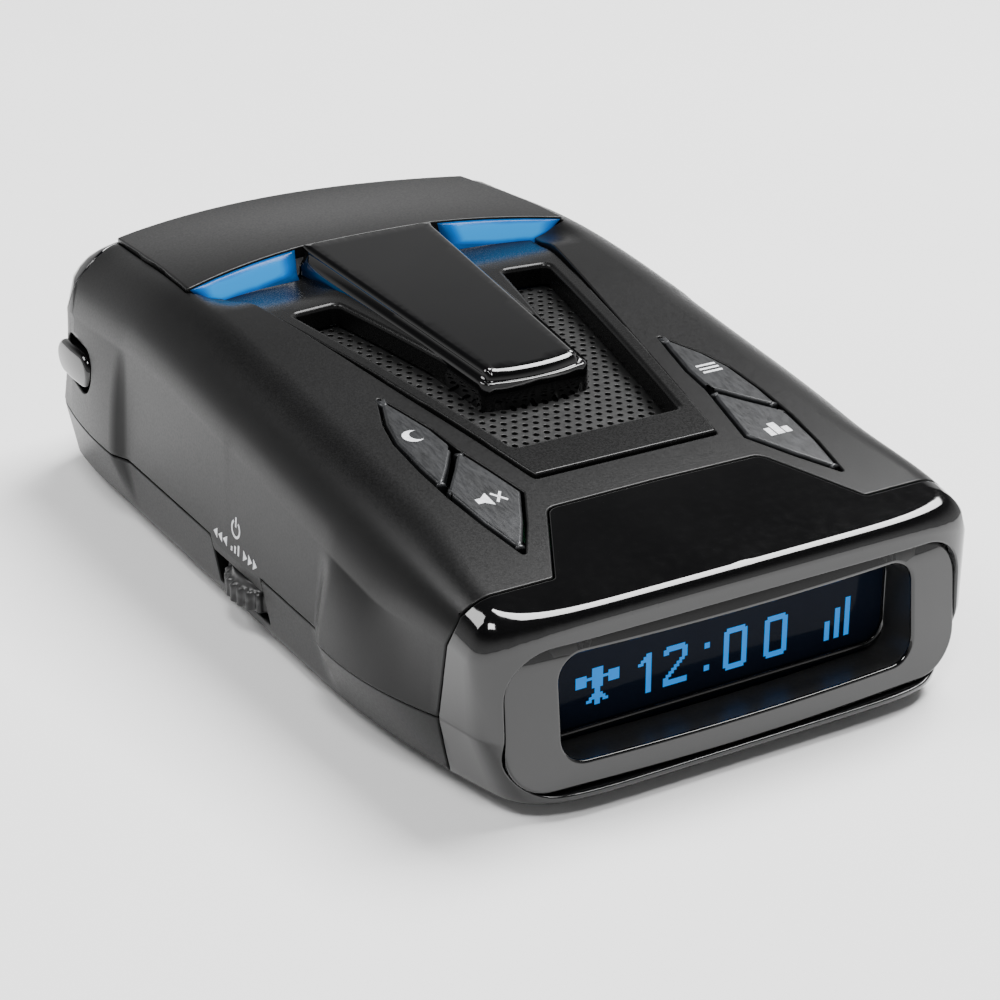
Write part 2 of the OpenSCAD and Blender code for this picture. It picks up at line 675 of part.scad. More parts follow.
// ---- thumb wheel ----
wheel_bore_r = wheel_pin_r + 0.06;
module volume_wheel() {
    color([0.12, 0.12, 0.12]) translate([wheel_x, wheel_y, 0]) difference() {
        union() {
            translate([0, 0, wheel_low]) cylinder(r = wheel_r - 0.5, h = wheel_high - wheel_low);
            for (i = [0:wheel_ribs - 1]) rotate([0, 0, i * 360 / wheel_ribs])
                translate([wheel_r - 1, -0.35, wheel_low]) cube([1, 0.7, 2.7]);
        }
        translate([0, 0, wheel_low - 1]) cylinder(r = wheel_bore_r, h = 10);
    }
}
module wheel_pin() {
    color(metal) translate([wheel_x, wheel_y, wheel_low + 0.1]) cylinder(r = wheel_pin_r, h = 9 - wheel_low - 0.1);
}
module wheel_carrier() {
    color([0.3, 0.3, 0.3]) difference() {
        union() {
            translate([-31, wheel_y - 4, 7.5]) cube([12, 8, 1.5]);
            translate([-19.2, wheel_y - 2, 4.4]) cube([1.2, 4, 4.6]);
        }
        translate([wheel_x, wheel_y, 7]) cylinder(r = wheel_pin_r, h = 4);
    }
}
module power_switch() {
    color([0.1, 0.1, 0.1]) union() {
        translate([-15.4, wheel_y - 3, 5]) cube([4, 6, board_z - 5]);
        translate([-17.1, wheel_y - 0.8, 6]) cube([1.7, 1.6, 1.6]);
    }
}
module wheel_spring() {
    color(metal) translate([0, wheel_y + 3, 8.1]) rotate([0, 90, 0]) translate([0, 0, -18.9])
        difference() {
            cylinder(r = 0.8, h = 2.6 + wheel_press);
            translate([0, 0, -1]) cylinder(r = 0.5, h = 6);
        }
}

// ---- bracket release ----
module release_button() {
    color(gloss) union() {
        translate([-34.4, release_y, release_z]) rotate([90, 0, 90]) slotted(release_half, release_r, 3.6);
        translate([-30.9, release_y - 4, release_z - 2]) cube([0.8, 8, 4]);
    }
}
module release_latch() {
    color([0.35, 0.35, 0.36]) union() {
        translate([-30.1, release_y - 1.5, 5.4]) cube([1.4, 3, release_z - 4.4]);
        translate([-28.7, release_y - 1.5, 5.4]) cube([2, 3, 1.2]);
    }
}
module release_spring() {
    color(metal) translate([-28.7, release_y, release_z - 0.6]) rotate([0, 90, 0]) difference() {
        cylinder(r = 1.4, h = 4 + release_travel);
        translate([0, 0, -1]) cylinder(r = 1, h = 8);
    }
}

// ---- fasteners, feet and label ----
module housing_screws() {
    color(metal) mirrored() for (p = boss_xy) translate([p[0], p[1], 0]) {
        translate([0, 0, 3.2]) cylinder(r = 2.2, h = 1.7);
        translate([0, 0, 4.8]) cylinder(r = screw_r, h = 11);
    }
}
module rubber_feet() {
    color([0.05, 0.05, 0.05]) mirrored() {
        translate([23, 42, 0]) cube([7.6, 7.4, foot_h]);
        translate([15, -44.8, 0]) cube([7.4, 7.4, foot_h]);
    }
}
module rating_label() {
    color([0.75, 0.75, 0.75]) translate([-19, -14, case_low - 0.2]) cube([38, 24, 0.2]);
}

upper_shell();
lower_shell();
display_hood();
display_bezel();
display_window();
oled_display();
display_board();
display_flex();
grille_frame();
speaker_mesh();
spine_cover();
front_cap();
front_window();
alert_lens_left();
alert_lens_right();
alert_leds();
key_night_mode();
key_mute();
key_settings();
key_city_mode();
key_pad_left();
key_pad_right();
key_board_left();
key_board_right();
key_switches();
main_board();
capacitors();
horn_antenna();
rf_shield();
laser_sensor();
gps_antenna();
speaker_frame();
speaker_cone();
speaker_magnet();
dc_jack();
usb_port();
volume_wheel();
wheel_carrier();
wheel_pin();
power_switch();
wheel_spring();
release_button();
release_latch();
release_spring();
housing_screws();
rubber_feet();
rating_label();
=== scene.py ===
"""Windshield radar detector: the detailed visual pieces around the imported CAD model.

Lengths in the shape functions are millimetres in the CAD frame; vertices become metres in build().
"""
import json
import math

import bmesh
import bpy
import numpy as np
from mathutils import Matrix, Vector, geometry


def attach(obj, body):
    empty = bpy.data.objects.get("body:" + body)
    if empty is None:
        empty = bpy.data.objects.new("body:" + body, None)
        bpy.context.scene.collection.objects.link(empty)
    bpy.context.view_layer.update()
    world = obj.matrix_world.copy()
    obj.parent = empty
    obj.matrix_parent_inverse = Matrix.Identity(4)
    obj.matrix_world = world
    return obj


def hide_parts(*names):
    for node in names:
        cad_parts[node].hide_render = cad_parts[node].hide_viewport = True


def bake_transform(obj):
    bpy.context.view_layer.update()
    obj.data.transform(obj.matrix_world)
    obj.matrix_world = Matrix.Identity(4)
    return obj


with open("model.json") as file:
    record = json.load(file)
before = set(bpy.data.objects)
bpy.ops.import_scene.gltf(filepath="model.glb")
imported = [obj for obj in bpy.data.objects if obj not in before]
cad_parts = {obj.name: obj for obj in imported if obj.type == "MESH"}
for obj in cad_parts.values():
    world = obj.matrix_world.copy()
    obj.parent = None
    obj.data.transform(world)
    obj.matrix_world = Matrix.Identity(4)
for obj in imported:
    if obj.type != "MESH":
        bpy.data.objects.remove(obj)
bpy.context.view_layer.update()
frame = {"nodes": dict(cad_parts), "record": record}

MM = 0.001
EPS = 1e-12

# ---------------------------------------------------------------- case surface
HALF_L = 57.5       # half the length of the case
CASE_LOW = 1.5      # the flat bottom, above the feet
EDGE_R = 1.0        # bottom edge
PART_Z = 9.6        # parting line between the shells
SIDE_HALF = 33.9    # half width at the parting line between the corner bulges
LENS_Y = 24.2       # front of the grille plate, where the rails beside it are highest
RAIL = 1.15
BROW_R = 1.6        # radii of the top's edge: over the display, at the hood's sides, mid-side, front
HOOD_SHOULDER_R = 4.8
SHOULDER_R = 7.8
FRONT_SHOULDER_R = 8.0
BULGE_FULLNESS = 1.15
# Superellipse ends of the three outlines, bottom, parting line and shoulder: start, length, two exponents.
REAR_END = [(-51.5, 6.0, 2.5, 8), (-51.5, 5.4, 2.5, 8), (-51.5, 4.4, 2.5, 8)]
FRONT_END = [(49.5, 7.6, 3.2, 4), (49.5, 8.0, 3.2, 4), (47.0, 10.3, 2.6, 3.4)]
COMMON_Y = 47.0     # up to here the three outlines share their y
COMMON_T = 0.95


def ease(t):
    """Smooth step from 0 to 1."""
    t = np.clip(t, 0.0, 1.0)
    return t * t * (3 - 2 * t)


def mix(a, b, t):
    return a + (b - a) * t


def arch_z(y):
    """The top's shallow arch, at the grille plate."""
    return 31.2 - 0.000997 * (y - 37.1) ** 2


def shell_z(y):
    """Height of the upper shell's top, with the rails beside the grille plate."""
    rail = np.where(y < LENS_Y, RAIL * ease((y + 15) / 39), RAIL * (1 - ease((y - LENS_Y) / 24)))
    return arch_z(y) + rail - 0.2


def parting_half(y):
    """Half width at the parting line, with the bulges at the front and rear corners."""
    front = 35.1 - 0.006 * (y - 34) ** 2
    rear = np.where(y > -46.5, 35.5 - 0.0116 * (y + 29) ** 2, 31.95 - 0.17 * (-46.5 - y))
    ahead = np.where(y < 34, mix(SIDE_HALF, front, ease((y - 28.5) / 3)), front)
    behind = np.where(y > -29, mix(SIDE_HALF, rear, ease((-22.5 - y) / 4)), rear)
    return np.where(y > 4, ahead, behind)


def bottom_half(y):
    return 32.7 - np.where(y < -20, 0.0043 * (y + 20) ** 2, 0) - np.where(y > 40, 0.006 * (y - 40) ** 2, 0)


def shoulder_half(y):
    return np.where(y < 0, 33 - 2.4 * (y / HALF_L) ** 4, 33.2 - 0.6 * (y / HALF_L) ** 4)


HALVES = [bottom_half, parting_half, shoulder_half]


def outline(level, tau):
    """Right half of an outline: tau 0 is the rear centre, 1 to 2 the side, 3 the front centre."""
    tau = np.asarray(tau, float)
    half = HALVES[level]
    y0, l0, a0, b0 = REAR_END[level]
    y1, l1, a1, b1 = FRONT_END[level]
    phi = math.pi / 2 * (1 - np.clip(tau, 0, 1))
    y_rear = y0 - l0 * np.sin(phi) ** (2 / a0)
    x_rear = half(y_rear) * np.clip(np.cos(phi), 0, 1) ** (2 / b0)
    t = np.clip(tau - 1, 0, 1)
    y_side = np.where(t < COMMON_T, mix(y0, COMMON_Y, t / COMMON_T),
                      mix(COMMON_Y, y1, (t - COMMON_T) / (1 - COMMON_T)))
    phi = math.pi / 2 * np.clip(tau - 2, 0, 1)
    y_front = y1 + l1 * np.sin(phi) ** (2 / a1)
    x_front = half(y_front) * np.clip(np.cos(phi), 0, 1) ** (2 / b1)
    x = np.where(tau < 1, x_rear, np.where(tau <= 2, half(y_side), x_front))
    y = np.where(tau < 1, y_rear, np.where(tau <= 2, y_side, y_front))
    return x, y


def edge_radius(tau, y):
    """Radius of the rounded edge between the wall and the top."""
    side = np.where(y < 0, mix(HOOD_SHOULDER_R, SHOULDER_R, ease((y + 51.5) / 18)),
                    mix(SHOULDER_R, FRONT_SHOULDER_R, ease(y / 45)))
    return np.where(tau < 1, mix(BROW_R, HOOD_SHOULDER_R, ease(tau)), side)


def wall(tau, k):
    """Right side of the skin: k -2 bottom face, -1 bottom edge, 0 parting line, 1 shoulder."""
    tau, k = np.broadcast_arrays(np.asarray(tau, float), np.asarray(k, float))
    bx, by = outline(0, tau)
    px, py = outline(1, tau)
    sx, sy = outline(2, tau)
    q = 1 - (1 - np.clip(k, 0, 1)) ** 1.6
    low = np.clip(-k, 0, 1)
    x = np.where(k >= 0, mix(px, sx, q), mix(px, bx, low))
    y = np.where(k >= 0, mix(py, sy, q), mix(py, by, low))
    # The corner bulges keep their fullness until just below the shoulder, and start softly.
    over = px - SIDE_HALF
    over = (over + np.sqrt(over * over + 0.3)) / 2 - 0.06
    x = x + np.where(k > 0, np.maximum(0, over) * (q - np.clip(k, 0, 1) ** 2.5) * BULGE_FULLNESS, 0)
    top = shell_z(y) - edge_radius(tau, y)
    z = np.where(k >= 0, mix(PART_Z, top, np.clip(k, 0, 1)), mix(PART_Z, CASE_LOW + EDGE_R, low))
    turn = np.clip(-1 - k, 0, 1) * math.pi / 2
    step = 1e-3
    ax, ay = outline(0, np.clip(tau - step, 0, 3))
    cx, cy = outline(0, np.clip(tau + step, 0, 3))
    length = np.hypot(cx - ax, cy - ay) + EPS
    inward = EDGE_R * (1 - np.cos(turn))
    x = np.maximum(0, x - (cy - ay) / length * inward)
    y = y + (cx - ax) / length * inward
    z = z - EDGE_R * np.sin(turn)
    return x, y, z


# Arc length along the parting line stands for tau, so that the patches have even triangles.
def tau_samples(ends, sides, extra=()):
    """Values of tau that are dense round the superellipse corners."""
    c = np.linspace(0, 1, ends)
    return np.unique(np.concatenate([1 - np.arccos(c ** 4) / (math.pi / 2), np.linspace(1, 2, sides),
                                     2 + np.arccos(c ** 2) / (math.pi / 2), *extra]))


TAU_FINE = tau_samples(300, 1500)
_ox, _oy = outline(1, TAU_FINE)
U_FINE = np.concatenate([[0], np.cumsum(np.hypot(np.diff(_ox), np.diff(_oy)))])
U_END = float(U_FINE[-1])
WALL_V = 16.0       # patch coordinate v at the shoulder, with 0 at the parting line
LOWER_V = 7.0       # the same, down to the bottom edge
ROUND_V = 1.6       # and round that edge


def k_of(v):
    """wall()'s height parameter at the patch coordinate v."""
    return np.where(v >= 0, v / WALL_V, np.where(v >= -LOWER_V, v / LOWER_V, -1 + (v + LOWER_V) / ROUND_V))


def skin(u, v):
    """Point of the skin at patch coordinates. u below 0 or beyond U_END is the left side."""
    u, v = np.broadcast_arrays(np.asarray(u, float), np.asarray(v, float))
    left = (u < 0) | (u > U_END)
    w = np.where(u < 0, -u, np.where(u > U_END, 2 * U_END - u, u))
    x, y, z = wall(np.interp(w, U_FINE, TAU_FINE), k_of(v))
    return np.stack([np.where(left, -x, x), y, z], -1)


def solve(f, lo, hi, n=44):
    """Roots of a rising function, for arrays of bounds."""
    lo, hi = np.array(lo, float), np.array(hi, float)
    for _ in range(n):
        m = (lo + hi) / 2
        up = f(m) < 0
        lo, hi = np.where(up, m, lo), np.where(up, hi, m)
    return (lo + hi) / 2


def low_v(z):
    """Patch coordinate v below the parting line, from z."""
    return (z - PART_Z) / (PART_Z - CASE_LOW - EDGE_R) * LOWER_V


def u_at_y(y, v):
    """Patch coordinate u on the right side, from y."""
    y, v = np.broadcast_arrays(np.asarray(y, float), np.asarray(v, float))
    return solve(lambda u: skin(u, v)[..., 1] - y, np.zeros(y.shape), np.full(y.shape, U_END))


def side_uv(y, z):
    """Patch coordinates of a point on the right side wall, from its y and z."""
    y, z = np.asarray(y, float), np.asarray(z, float)
    v = z - PART_Z
    for _ in range(6):
        u = u_at_y(y, v)
        v = solve(lambda t: skin(u, t)[..., 2] - z, np.full(y.shape, -LOWER_V), np.full(y.shape, WALL_V))
    return u, v


def rear_uv(x, z):
    """Patch coordinates of a point on the rear face, from its x and z."""
    x, z = np.asarray(x, float), np.asarray(z, float)
    limit = float(u_at_y(-42.0, 0.0))
    v = z - PART_Z
    for _ in range(6):
        u = solve(lambda t: skin(t, v)[..., 0] - np.abs(x), np.zeros(x.shape), np.full(x.shape, limit))
        v = solve(lambda t: skin(u, t)[..., 2] - z, np.full(x.shape, -LOWER_V), np.full(x.shape, WALL_V))
    return np.where(x < 0, -u, u), v


def front_u(x, v):
    """Patch coordinate u on the nose, from x."""
    x, v = np.broadcast_arrays(np.asarray(x, float), np.asarray(v, float))
    start = float(u_at_y(44.0, 0.0))
    u = solve(lambda t: np.abs(x) - skin(t, v)[..., 0], np.full(x.shape, start), np.full(x.shape, U_END))
    return np.where(x < 0, 2 * U_END - u, u)


# Height of the top, also over its rounded edge, from the distance to the shoulder outline.
_tau = tau_samples(160, 500, (np.linspace(0.7, 1, 60), np.linspace(2, 2.3, 60)))
_sx, _sy = outline(2, _tau)
_sr = edge_radius(_tau, _sy)
SNAP = 0.02         # points this close to the shoulder lie on it
CHUNK = 400         # points handled at a time, to save memory


def to_segments(q, a, d):
    """Distance of each point to each segment from a along d, and the place along it."""
    w = q[:, None, :] - a[None]
    t = np.clip((w * d).sum(-1) / ((d * d).sum(-1) + EPS), 0, 1)
    return np.linalg.norm(w - t[..., None] * d, axis=-1), t


def top_z(x, y, with_normal=False):
    """Height of the top at plan points, and on request its normals."""
    sign = np.sign(np.asarray(x, float)).ravel()
    x, y = np.broadcast_arrays(np.abs(np.asarray(x, float)), np.asarray(y, float))
    p = np.stack([x.ravel(), y.ravel()], -1)
    normal = np.zeros((len(p), 3))
    a = np.stack([_sx[:-1], _sy[:-1]], -1)
    d = np.stack([np.diff(_sx), np.diff(_sy)], -1)
    out = np.empty(len(p))
    for i in range(0, len(p), CHUNK):
        here = slice(i, i + CHUNK)
        at_y = p[here, 1]
        gap, t = to_segments(p[here], a, d)
        j = gap.argmin(1)
        rows = np.arange(len(j))
        r = mix(_sr[j], _sr[j + 1], t[rows, j])
        s = np.clip(1 - np.where(gap[rows, j] < SNAP, 0, gap[rows, j]) / r, 0, 1)
        rise = np.sqrt(1 - s * s)
        out[here] = shell_z(at_y) - r * (1 - rise)
        if with_normal:
            away = np.stack([d[j, 1], -d[j, 0]], -1) / (np.linalg.norm(d[j], axis=1)[:, None] + EPS)
            slope = (shell_z(at_y + 0.05) - shell_z(at_y - 0.05)) / 0.1
            n = np.column_stack([away[:, 0] * s * sign[here], away[:, 1] * s - slope * rise, rise])
            normal[here] = n / np.linalg.norm(n, axis=1)[:, None]
    return (out.reshape(x.shape), normal) if with_normal else out.reshape(x.shape)


# ---------------------------------------------------------------- mesh helpers
def dense(points, step, closed=True):
    """Adds points so that no edge is longer than step."""
    p = np.asarray(points, float)
    out = []
    n = len(p) if closed else len(p) - 1
    for i in range(n):
        a, b = p[i], p[(i + 1) % len(p)]
        m = max(1, int(math.ceil(np.linalg.norm(b - a) / step)))
        out += [mix(a, b, j / m) for j in range(m)]
    if not closed:
        out.append(p[-1])
    return np.array(out)


def rounded(points, radius, n=5, closed=True):
    """Rounds the corners of a polygon with short curves; radius may be one per corner."""
    p = np.asarray(points, float)
    rs = [radius] * len(p) if np.isscalar(radius) else radius
    out = []
    for i in range(len(p)):
        if not closed and i in (0, len(p) - 1):
            out.append(p[i])
            continue
        a, b, c = p[i - 1], p[i], p[(i + 1) % len(p)]
        u, w = (a - b), (c - b)
        lu, lw = np.linalg.norm(u), np.linalg.norm(w)
        u, w = u / lu, w / lw
        half = math.acos(np.clip(u @ w, -1, 1)) / 2
        d = min(rs[i] / max(math.tan(half), 1e-6), 0.45 * lu, 0.45 * lw)
        if d < 1e-4 or half > 1.55:
            out.append(b)
            continue
        r = d * math.tan(half)
        centre = b + (u + w) / np.linalg.norm(u + w) * (r / math.sin(half))
        s, e = b + u * d - centre, b + w * d - centre
        sweep = math.acos(np.clip((s @ e) / (r * r), -1, 1))
        turn = np.sign(s[0] * e[1] - s[1] * e[0])
        for j in range(n + 1):
            t = turn * sweep * j / n
            out.append(centre + [s[0] * math.cos(t) - s[1] * math.sin(t),
                                 s[0] * math.sin(t) + s[1] * math.cos(t)])
    return np.array(out)


def area(p):
    """Signed area of a loop, positive anticlockwise."""
    return 0.5 * float(np.sum(p[:, 0] * np.roll(p[:, 1], -1) - np.roll(p[:, 0], -1) * p[:, 1]))


def inset(points, d, closed=True):
    """Moves a loop to its left by d: inwards for an anticlockwise loop."""
    p = np.asarray(points, float)
    e = np.roll(p, -1, 0) - p
    if not closed:
        e[-1] = e[-2]
    e /= np.linalg.norm(e, axis=1)[:, None] + EPS
    n = np.stack([-e[:, 1], e[:, 0]], -1)
    before = np.roll(n, 1, 0)
    if not closed:
        before[0] = n[0]
    m = n + before
    m /= np.linalg.norm(m, axis=1)[:, None] + EPS
    c = np.clip((m * n).sum(1), 0.55, 1)
    return p + m * (d / c)[:, None]


def inside(q, loops):
    """Even-odd test of points against loops."""
    hit = np.zeros(len(q), bool)
    for p in loops:
        a, b = p, np.roll(p, -1, 0)
        for i in range(0, len(q), 2000):
            x, y = q[i:i + 2000, 0][:, None], q[i:i + 2000, 1][:, None]
            cross = (a[:, 1] > y) != (b[:, 1] > y)
            with np.errstate(divide="ignore", invalid="ignore"):
                at = (b[:, 0] - a[:, 0]) * (y - a[:, 1]) / (b[:, 1] - a[:, 1]) + a[:, 0]
            hit[i:i + 2000] ^= (np.sum(cross & (x < at), axis=1) % 2).astype(bool)
    return hit


def clearance(q, loops):
    """Distance of points to the nearest loop."""
    out = np.full(len(q), np.inf)
    for p in loops:
        d = np.roll(p, -1, 0) - p
        for i in range(0, len(q), CHUNK):
            here = slice(i, i + CHUNK)
            out[here] = np.minimum(out[here], to_segments(q[here], p, d)[0].min(1))
    return out


def grid(loop, sx, sy):
    """Regular points over a loop's box."""
    lo, hi = loop.min(0), loop.max(0)
    x = np.arange(lo[0] + sx / 2, hi[0], sx)
    y = np.arange(lo[1] + sy / 2, hi[1], sy)
    return np.stack(np.meshgrid(x, y), -1).reshape(-1, 2)


def patch(loops, lift, sx=1.6, sy=1.6, extra=None, room=0.4, flip=False):
    """Fills plane loops with triangles and lifts them onto a surface."""
    loops = [np.asarray(p, float) for p in loops]
    free = grid(loops[0], sx, sy)
    if extra is not None:
        free = np.concatenate([extra, free[clearance(free, [extra]) > room * min(sx, sy)]])
    free = free[inside(free, loops)]
    free = free[clearance(free, loops) > room * min(sx, sy)]
    pts, edges = [], []
    for p in loops:
        n, base = len(p), len(pts)
        pts += [Vector(q) for q in p]
        edges += [(base + i, base + (i + 1) % n) for i in range(n)]
    pts += [Vector(q) for q in free]
    vs, _, fs = geometry.delaunay_2d_cdt(pts, edges, [], 0, 1e-6)[:3]
    vs = np.array([tuple(v) for v in vs])
    fs = np.array([f for f in fs if len(f) == 3])
    tri = vs[fs]
    keep = inside(tri.mean(1), loops)
    e1, e2 = tri[:, 1] - tri[:, 0], tri[:, 2] - tri[:, 0]
    signed = e1[:, 0] * e2[:, 1] - e1[:, 1] * e2[:, 0]
    keep &= np.abs(signed) > 1e-7
    fs = np.where((signed < 0)[:, None], fs[:, ::-1], fs)[keep]
    return lift(vs), fs[:, ::-1] if flip else fs, normal_of(lift, vs) * (-1 if flip else 1)


def normal_of(lift, p, h=0.02):
    """Surface normals of a lifted patch, from the shape itself rather than its triangles."""
    if lift is on_top:
        x, y = p.T
        n = top_z(x, y, True)[1]
        n[:, 0] += n[:, 2] * (lens_ramp(x + h, y) - lens_ramp(x - h, y)) / (2 * h)
        n[:, 1] += n[:, 2] * (lens_ramp(x, y + h) - lens_ramp(x, y - h)) / (2 * h)
        return n / np.linalg.norm(n, axis=1)[:, None]
    n = np.cross(lift(p + [h, 0]) - lift(p - [h, 0]), lift(p + [0, h]) - lift(p - [0, h]))
    return n / (np.linalg.norm(n, axis=1)[:, None] + 1e-15)


def lens_ramp(x, y):
    """How far the top dips in front of the alert lenses."""
    return 1.6 * ease((y - 16.5) / 7.5) * (1 - ease((np.abs(x) - 22.5) / 4.2)) * (y < 30)


def on_top(p):
    return np.column_stack([p, top_z(p[:, 0], p[:, 1]) - lens_ramp(p[:, 0], p[:, 1])])


def on_skin(p):
    return skin(p[:, 0], p[:, 1])


def at_height(f):
    """A lift that puts plan points at the height f(x, y)."""
    return lambda p: np.column_stack([p, f(p[:, 0], p[:, 1])])


def add_face(bm, verts):
    try:
        bm.faces.new(verts)
    except ValueError:      # the face is there already, or a triangle has shrunk to a line
        pass


def weld(parts, distance=0.01):
    """Joins patches at their shared edges. Patches that give normals keep them in a layer."""
    bm = bmesh.new()
    exact = all(len(part) == 3 for part in parts)
    layer = bm.verts.layers.float_vector.new("n") if exact else None
    for part in parts:
        verts, faces = part[:2]
        made = [bm.verts.new(v) for v in verts]
        if exact:
            for v, n in zip(made, part[2]):
                v[layer] = n
        for f in faces:
            add_face(bm, [made[i] for i in f])
    same = bmesh.ops.find_doubles(bm, verts=bm.verts, dist=distance)["targetmap"]
    if exact:
        total = {}
        for source, target in same.items():
            total[target] = total.get(target, Vector(target[layer])) + Vector(source[layer])
        for target, n in total.items():
            target[layer] = n.normalized()
    bmesh.ops.weld_verts(bm, targetmap=same)
    bmesh.ops.dissolve_degenerate(bm, dist=1e-4, edges=bm.edges)
    loose = [v for v in bm.verts if not v.link_faces]
    bmesh.ops.delete(bm, geom=loose, context="VERTS")
    return bm


def border_of(bm):
    """The open edges, and the outward directions at each of their vertices."""
    out, ordered = {}, []
    for e in [e for e in bm.edges if len(e.link_faces) == 1]:
        loop = e.link_loops[0]
        a, b = loop.vert, loop.link_loop_next.vert
        o = (b.co - a.co).normalized().cross(loop.face.normal)
        ordered.append((a, b))
        for v in (a, b):
            out.setdefault(v, []).append(o)
    return out, ordered


def lip_ring(bm, layer, v, n, directions, radius, depth, steps):
    """One vertex of a border, rolled over a quarter turn and then taken down by depth."""
    o = sum(directions, Vector())
    o = o - n * o.dot(n)
    if o.length < 1e-9:
        o = directions[0]
    o = o.normalized()
    stretch = 1 / max(0.6, o.dot(directions[0].normalized()))
    ring = [v]
    for j in range(1, steps + 1):
        t = math.pi / 2 * j / steps
        ring.append(bm.verts.new(v.co + o * (radius * stretch * math.sin(t)) - n * (radius * (1 - math.cos(t)))))
        if layer:
            ring[-1][layer] = n * math.cos(t) + o * math.sin(t)
    ring.append(bm.verts.new(ring[-1].co - n * depth))
    if layer:
        ring[-1][layer] = o
    return ring


def add_lips(bm, radius, depth, closed=True, steps=3):
    """Rolls every open edge inwards over a small radius, goes down by depth and closes the back."""
    bm.normal_update()
    layer = bm.verts.layers.float_vector.get("n")
    if layer:
        for v in bm.verts:
            v.normal = v[layer]
    out, ordered = border_of(bm)
    normals = {v: v.normal.copy() for v in bm.verts}
    rings = {v: lip_ring(bm, layer, v, normals[v], os, radius, depth, steps) for v, os in out.items()}
    old_faces = list(bm.faces)
    add_lip_faces(bm, ordered, rings)
    if closed:
        back = {v: rings[v][-1] if v in rings else None for v in normals}
        for v in normals:
            if back[v] is None:
                back[v] = bm.verts.new(v.co - normals[v] * (radius + depth))
                if layer:
                    back[v][layer] = -normals[v]
        for f in old_faces:
            add_face(bm, [back[v] for v in reversed(f.verts)])


def add_lip_faces(bm, ordered, rings):
    for a, b in ordered:
        ra, rb = rings[a], rings[b]
        for j in range(len(ra) - 1):
            add_face(bm, (rb[j], ra[j], ra[j + 1], rb[j + 1]))


def lips_by_place(bm, size, steps=4):
    """Lips with a radius and depth that depend on the vertex; the back stays open."""
    bm.normal_update()
    layer = bm.verts.layers.float_vector.get("n")
    out, ordered = border_of(bm)
    rings = {v: lip_ring(bm, layer, v, v.normal.copy(), os, *size(v), steps) for v, os in out.items()}
    add_lip_faces(bm, ordered, rings)


def full_turn(n):
    """n angles round a circle."""
    return np.linspace(0, 2 * math.pi, n + 1)[:-1]


def join_rings(bm, rings):
    """Quads between rings of vertices that have the same length."""
    n = len(rings[0])
    for lo, hi in zip(rings[:-1], rings[1:]):
        for i in range(n):
            bm.faces.new((lo[i], lo[(i + 1) % n], hi[(i + 1) % n], hi[i]))


def add_object(name, data):
    obj = bpy.data.objects.new(name, data)
    bpy.context.scene.collection.objects.link(obj)
    return obj


MATERIALS = {}


def build(name, bm, slot, body="case", replaces=(), smooth=True, weighted=True, bend=None):
    """Turns a bmesh in millimetres into a piece of the object.

    The piece rides on body; given bend, which holds two bodies and the two points of a blend, it keeps its place and
    rides on no body, and those bodies and points are not used.
    """
    bmesh.ops.scale(bm, vec=(MM, MM, MM), verts=bm.verts)
    layer = bm.verts.layers.float_vector.get("n")
    exact = [tuple(Vector(v[layer]).normalized()) for v in bm.verts] if layer else None
    if layer:
        bm.verts.layers.float_vector.remove(layer)
    mesh = bpy.data.meshes.new(name)
    bm.to_mesh(mesh)
    bm.free()
    obj = add_object(name, mesh)
    if smooth:
        mesh.shade_smooth()
        if exact:
            mesh.normals_split_custom_set_from_vertices(exact)
        elif weighted:
            obj.modifiers.new("normals", "WEIGHTED_NORMAL").weight = 80
    mesh.materials.append(MATERIALS[slot])
    if bend:
        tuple(bend[2])
        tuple(bend[3])
        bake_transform(obj)
    else:
        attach(obj, body)
    if replaces:
        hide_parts(*replaces)
    return obj


def mirrored(p):
    """The other half of a right-hand polyline, in reverse order."""
    return np.asarray(p)[::-1] * [-1, 1]


# ---------------------------------------------------------------- materials
def nodes_of(name):
    """A new material with its node tree and its shader."""
    m = bpy.data.materials.new(name)
    m.use_nodes = True
    t = m.node_tree
    return m, t, t.nodes["Principled BSDF"]


def link(t, a, b):
    t.links.new(a, b)


def noise(t, scale, detail=2.0, stretch=None):
    """Noise in the piece's own space, with scale features per metre."""
    coords = t.nodes.new("ShaderNodeTexCoord")
    n = t.nodes.new("ShaderNodeTexNoise")
    n.inputs["Scale"].default_value = scale
    n.inputs["Detail"].default_value = detail
    source = coords.outputs["Object"]
    if stretch:
        m = t.nodes.new("ShaderNodeMapping")
        m.inputs["Scale"].default_value = stretch
        link(t, source, m.inputs["Vector"])
        source = m.outputs["Vector"]
    link(t, source, n.inputs["Vector"])
    return n.outputs["Fac"]


def ranged(t, fac, low, high):
    """Spreads the middle of a noise over low to high."""
    m = t.nodes.new("ShaderNodeMapRange")
    m.inputs["From Min"].default_value = 0.3
    m.inputs["From Max"].default_value = 0.7
    m.inputs["To Min"].default_value = low
    m.inputs["To Max"].default_value = high
    link(t, fac, m.inputs["Value"])
    return m.outputs["Result"]


def tinted(t, fac, low, high):
    """A colour between low and high."""
    m = t.nodes.new("ShaderNodeMix")
    m.data_type = "RGBA"
    m.inputs["A"].default_value = (*low, 1)
    m.inputs["B"].default_value = (*high, 1)
    link(t, fac, m.inputs["Factor"])
    return m.outputs["Result"]


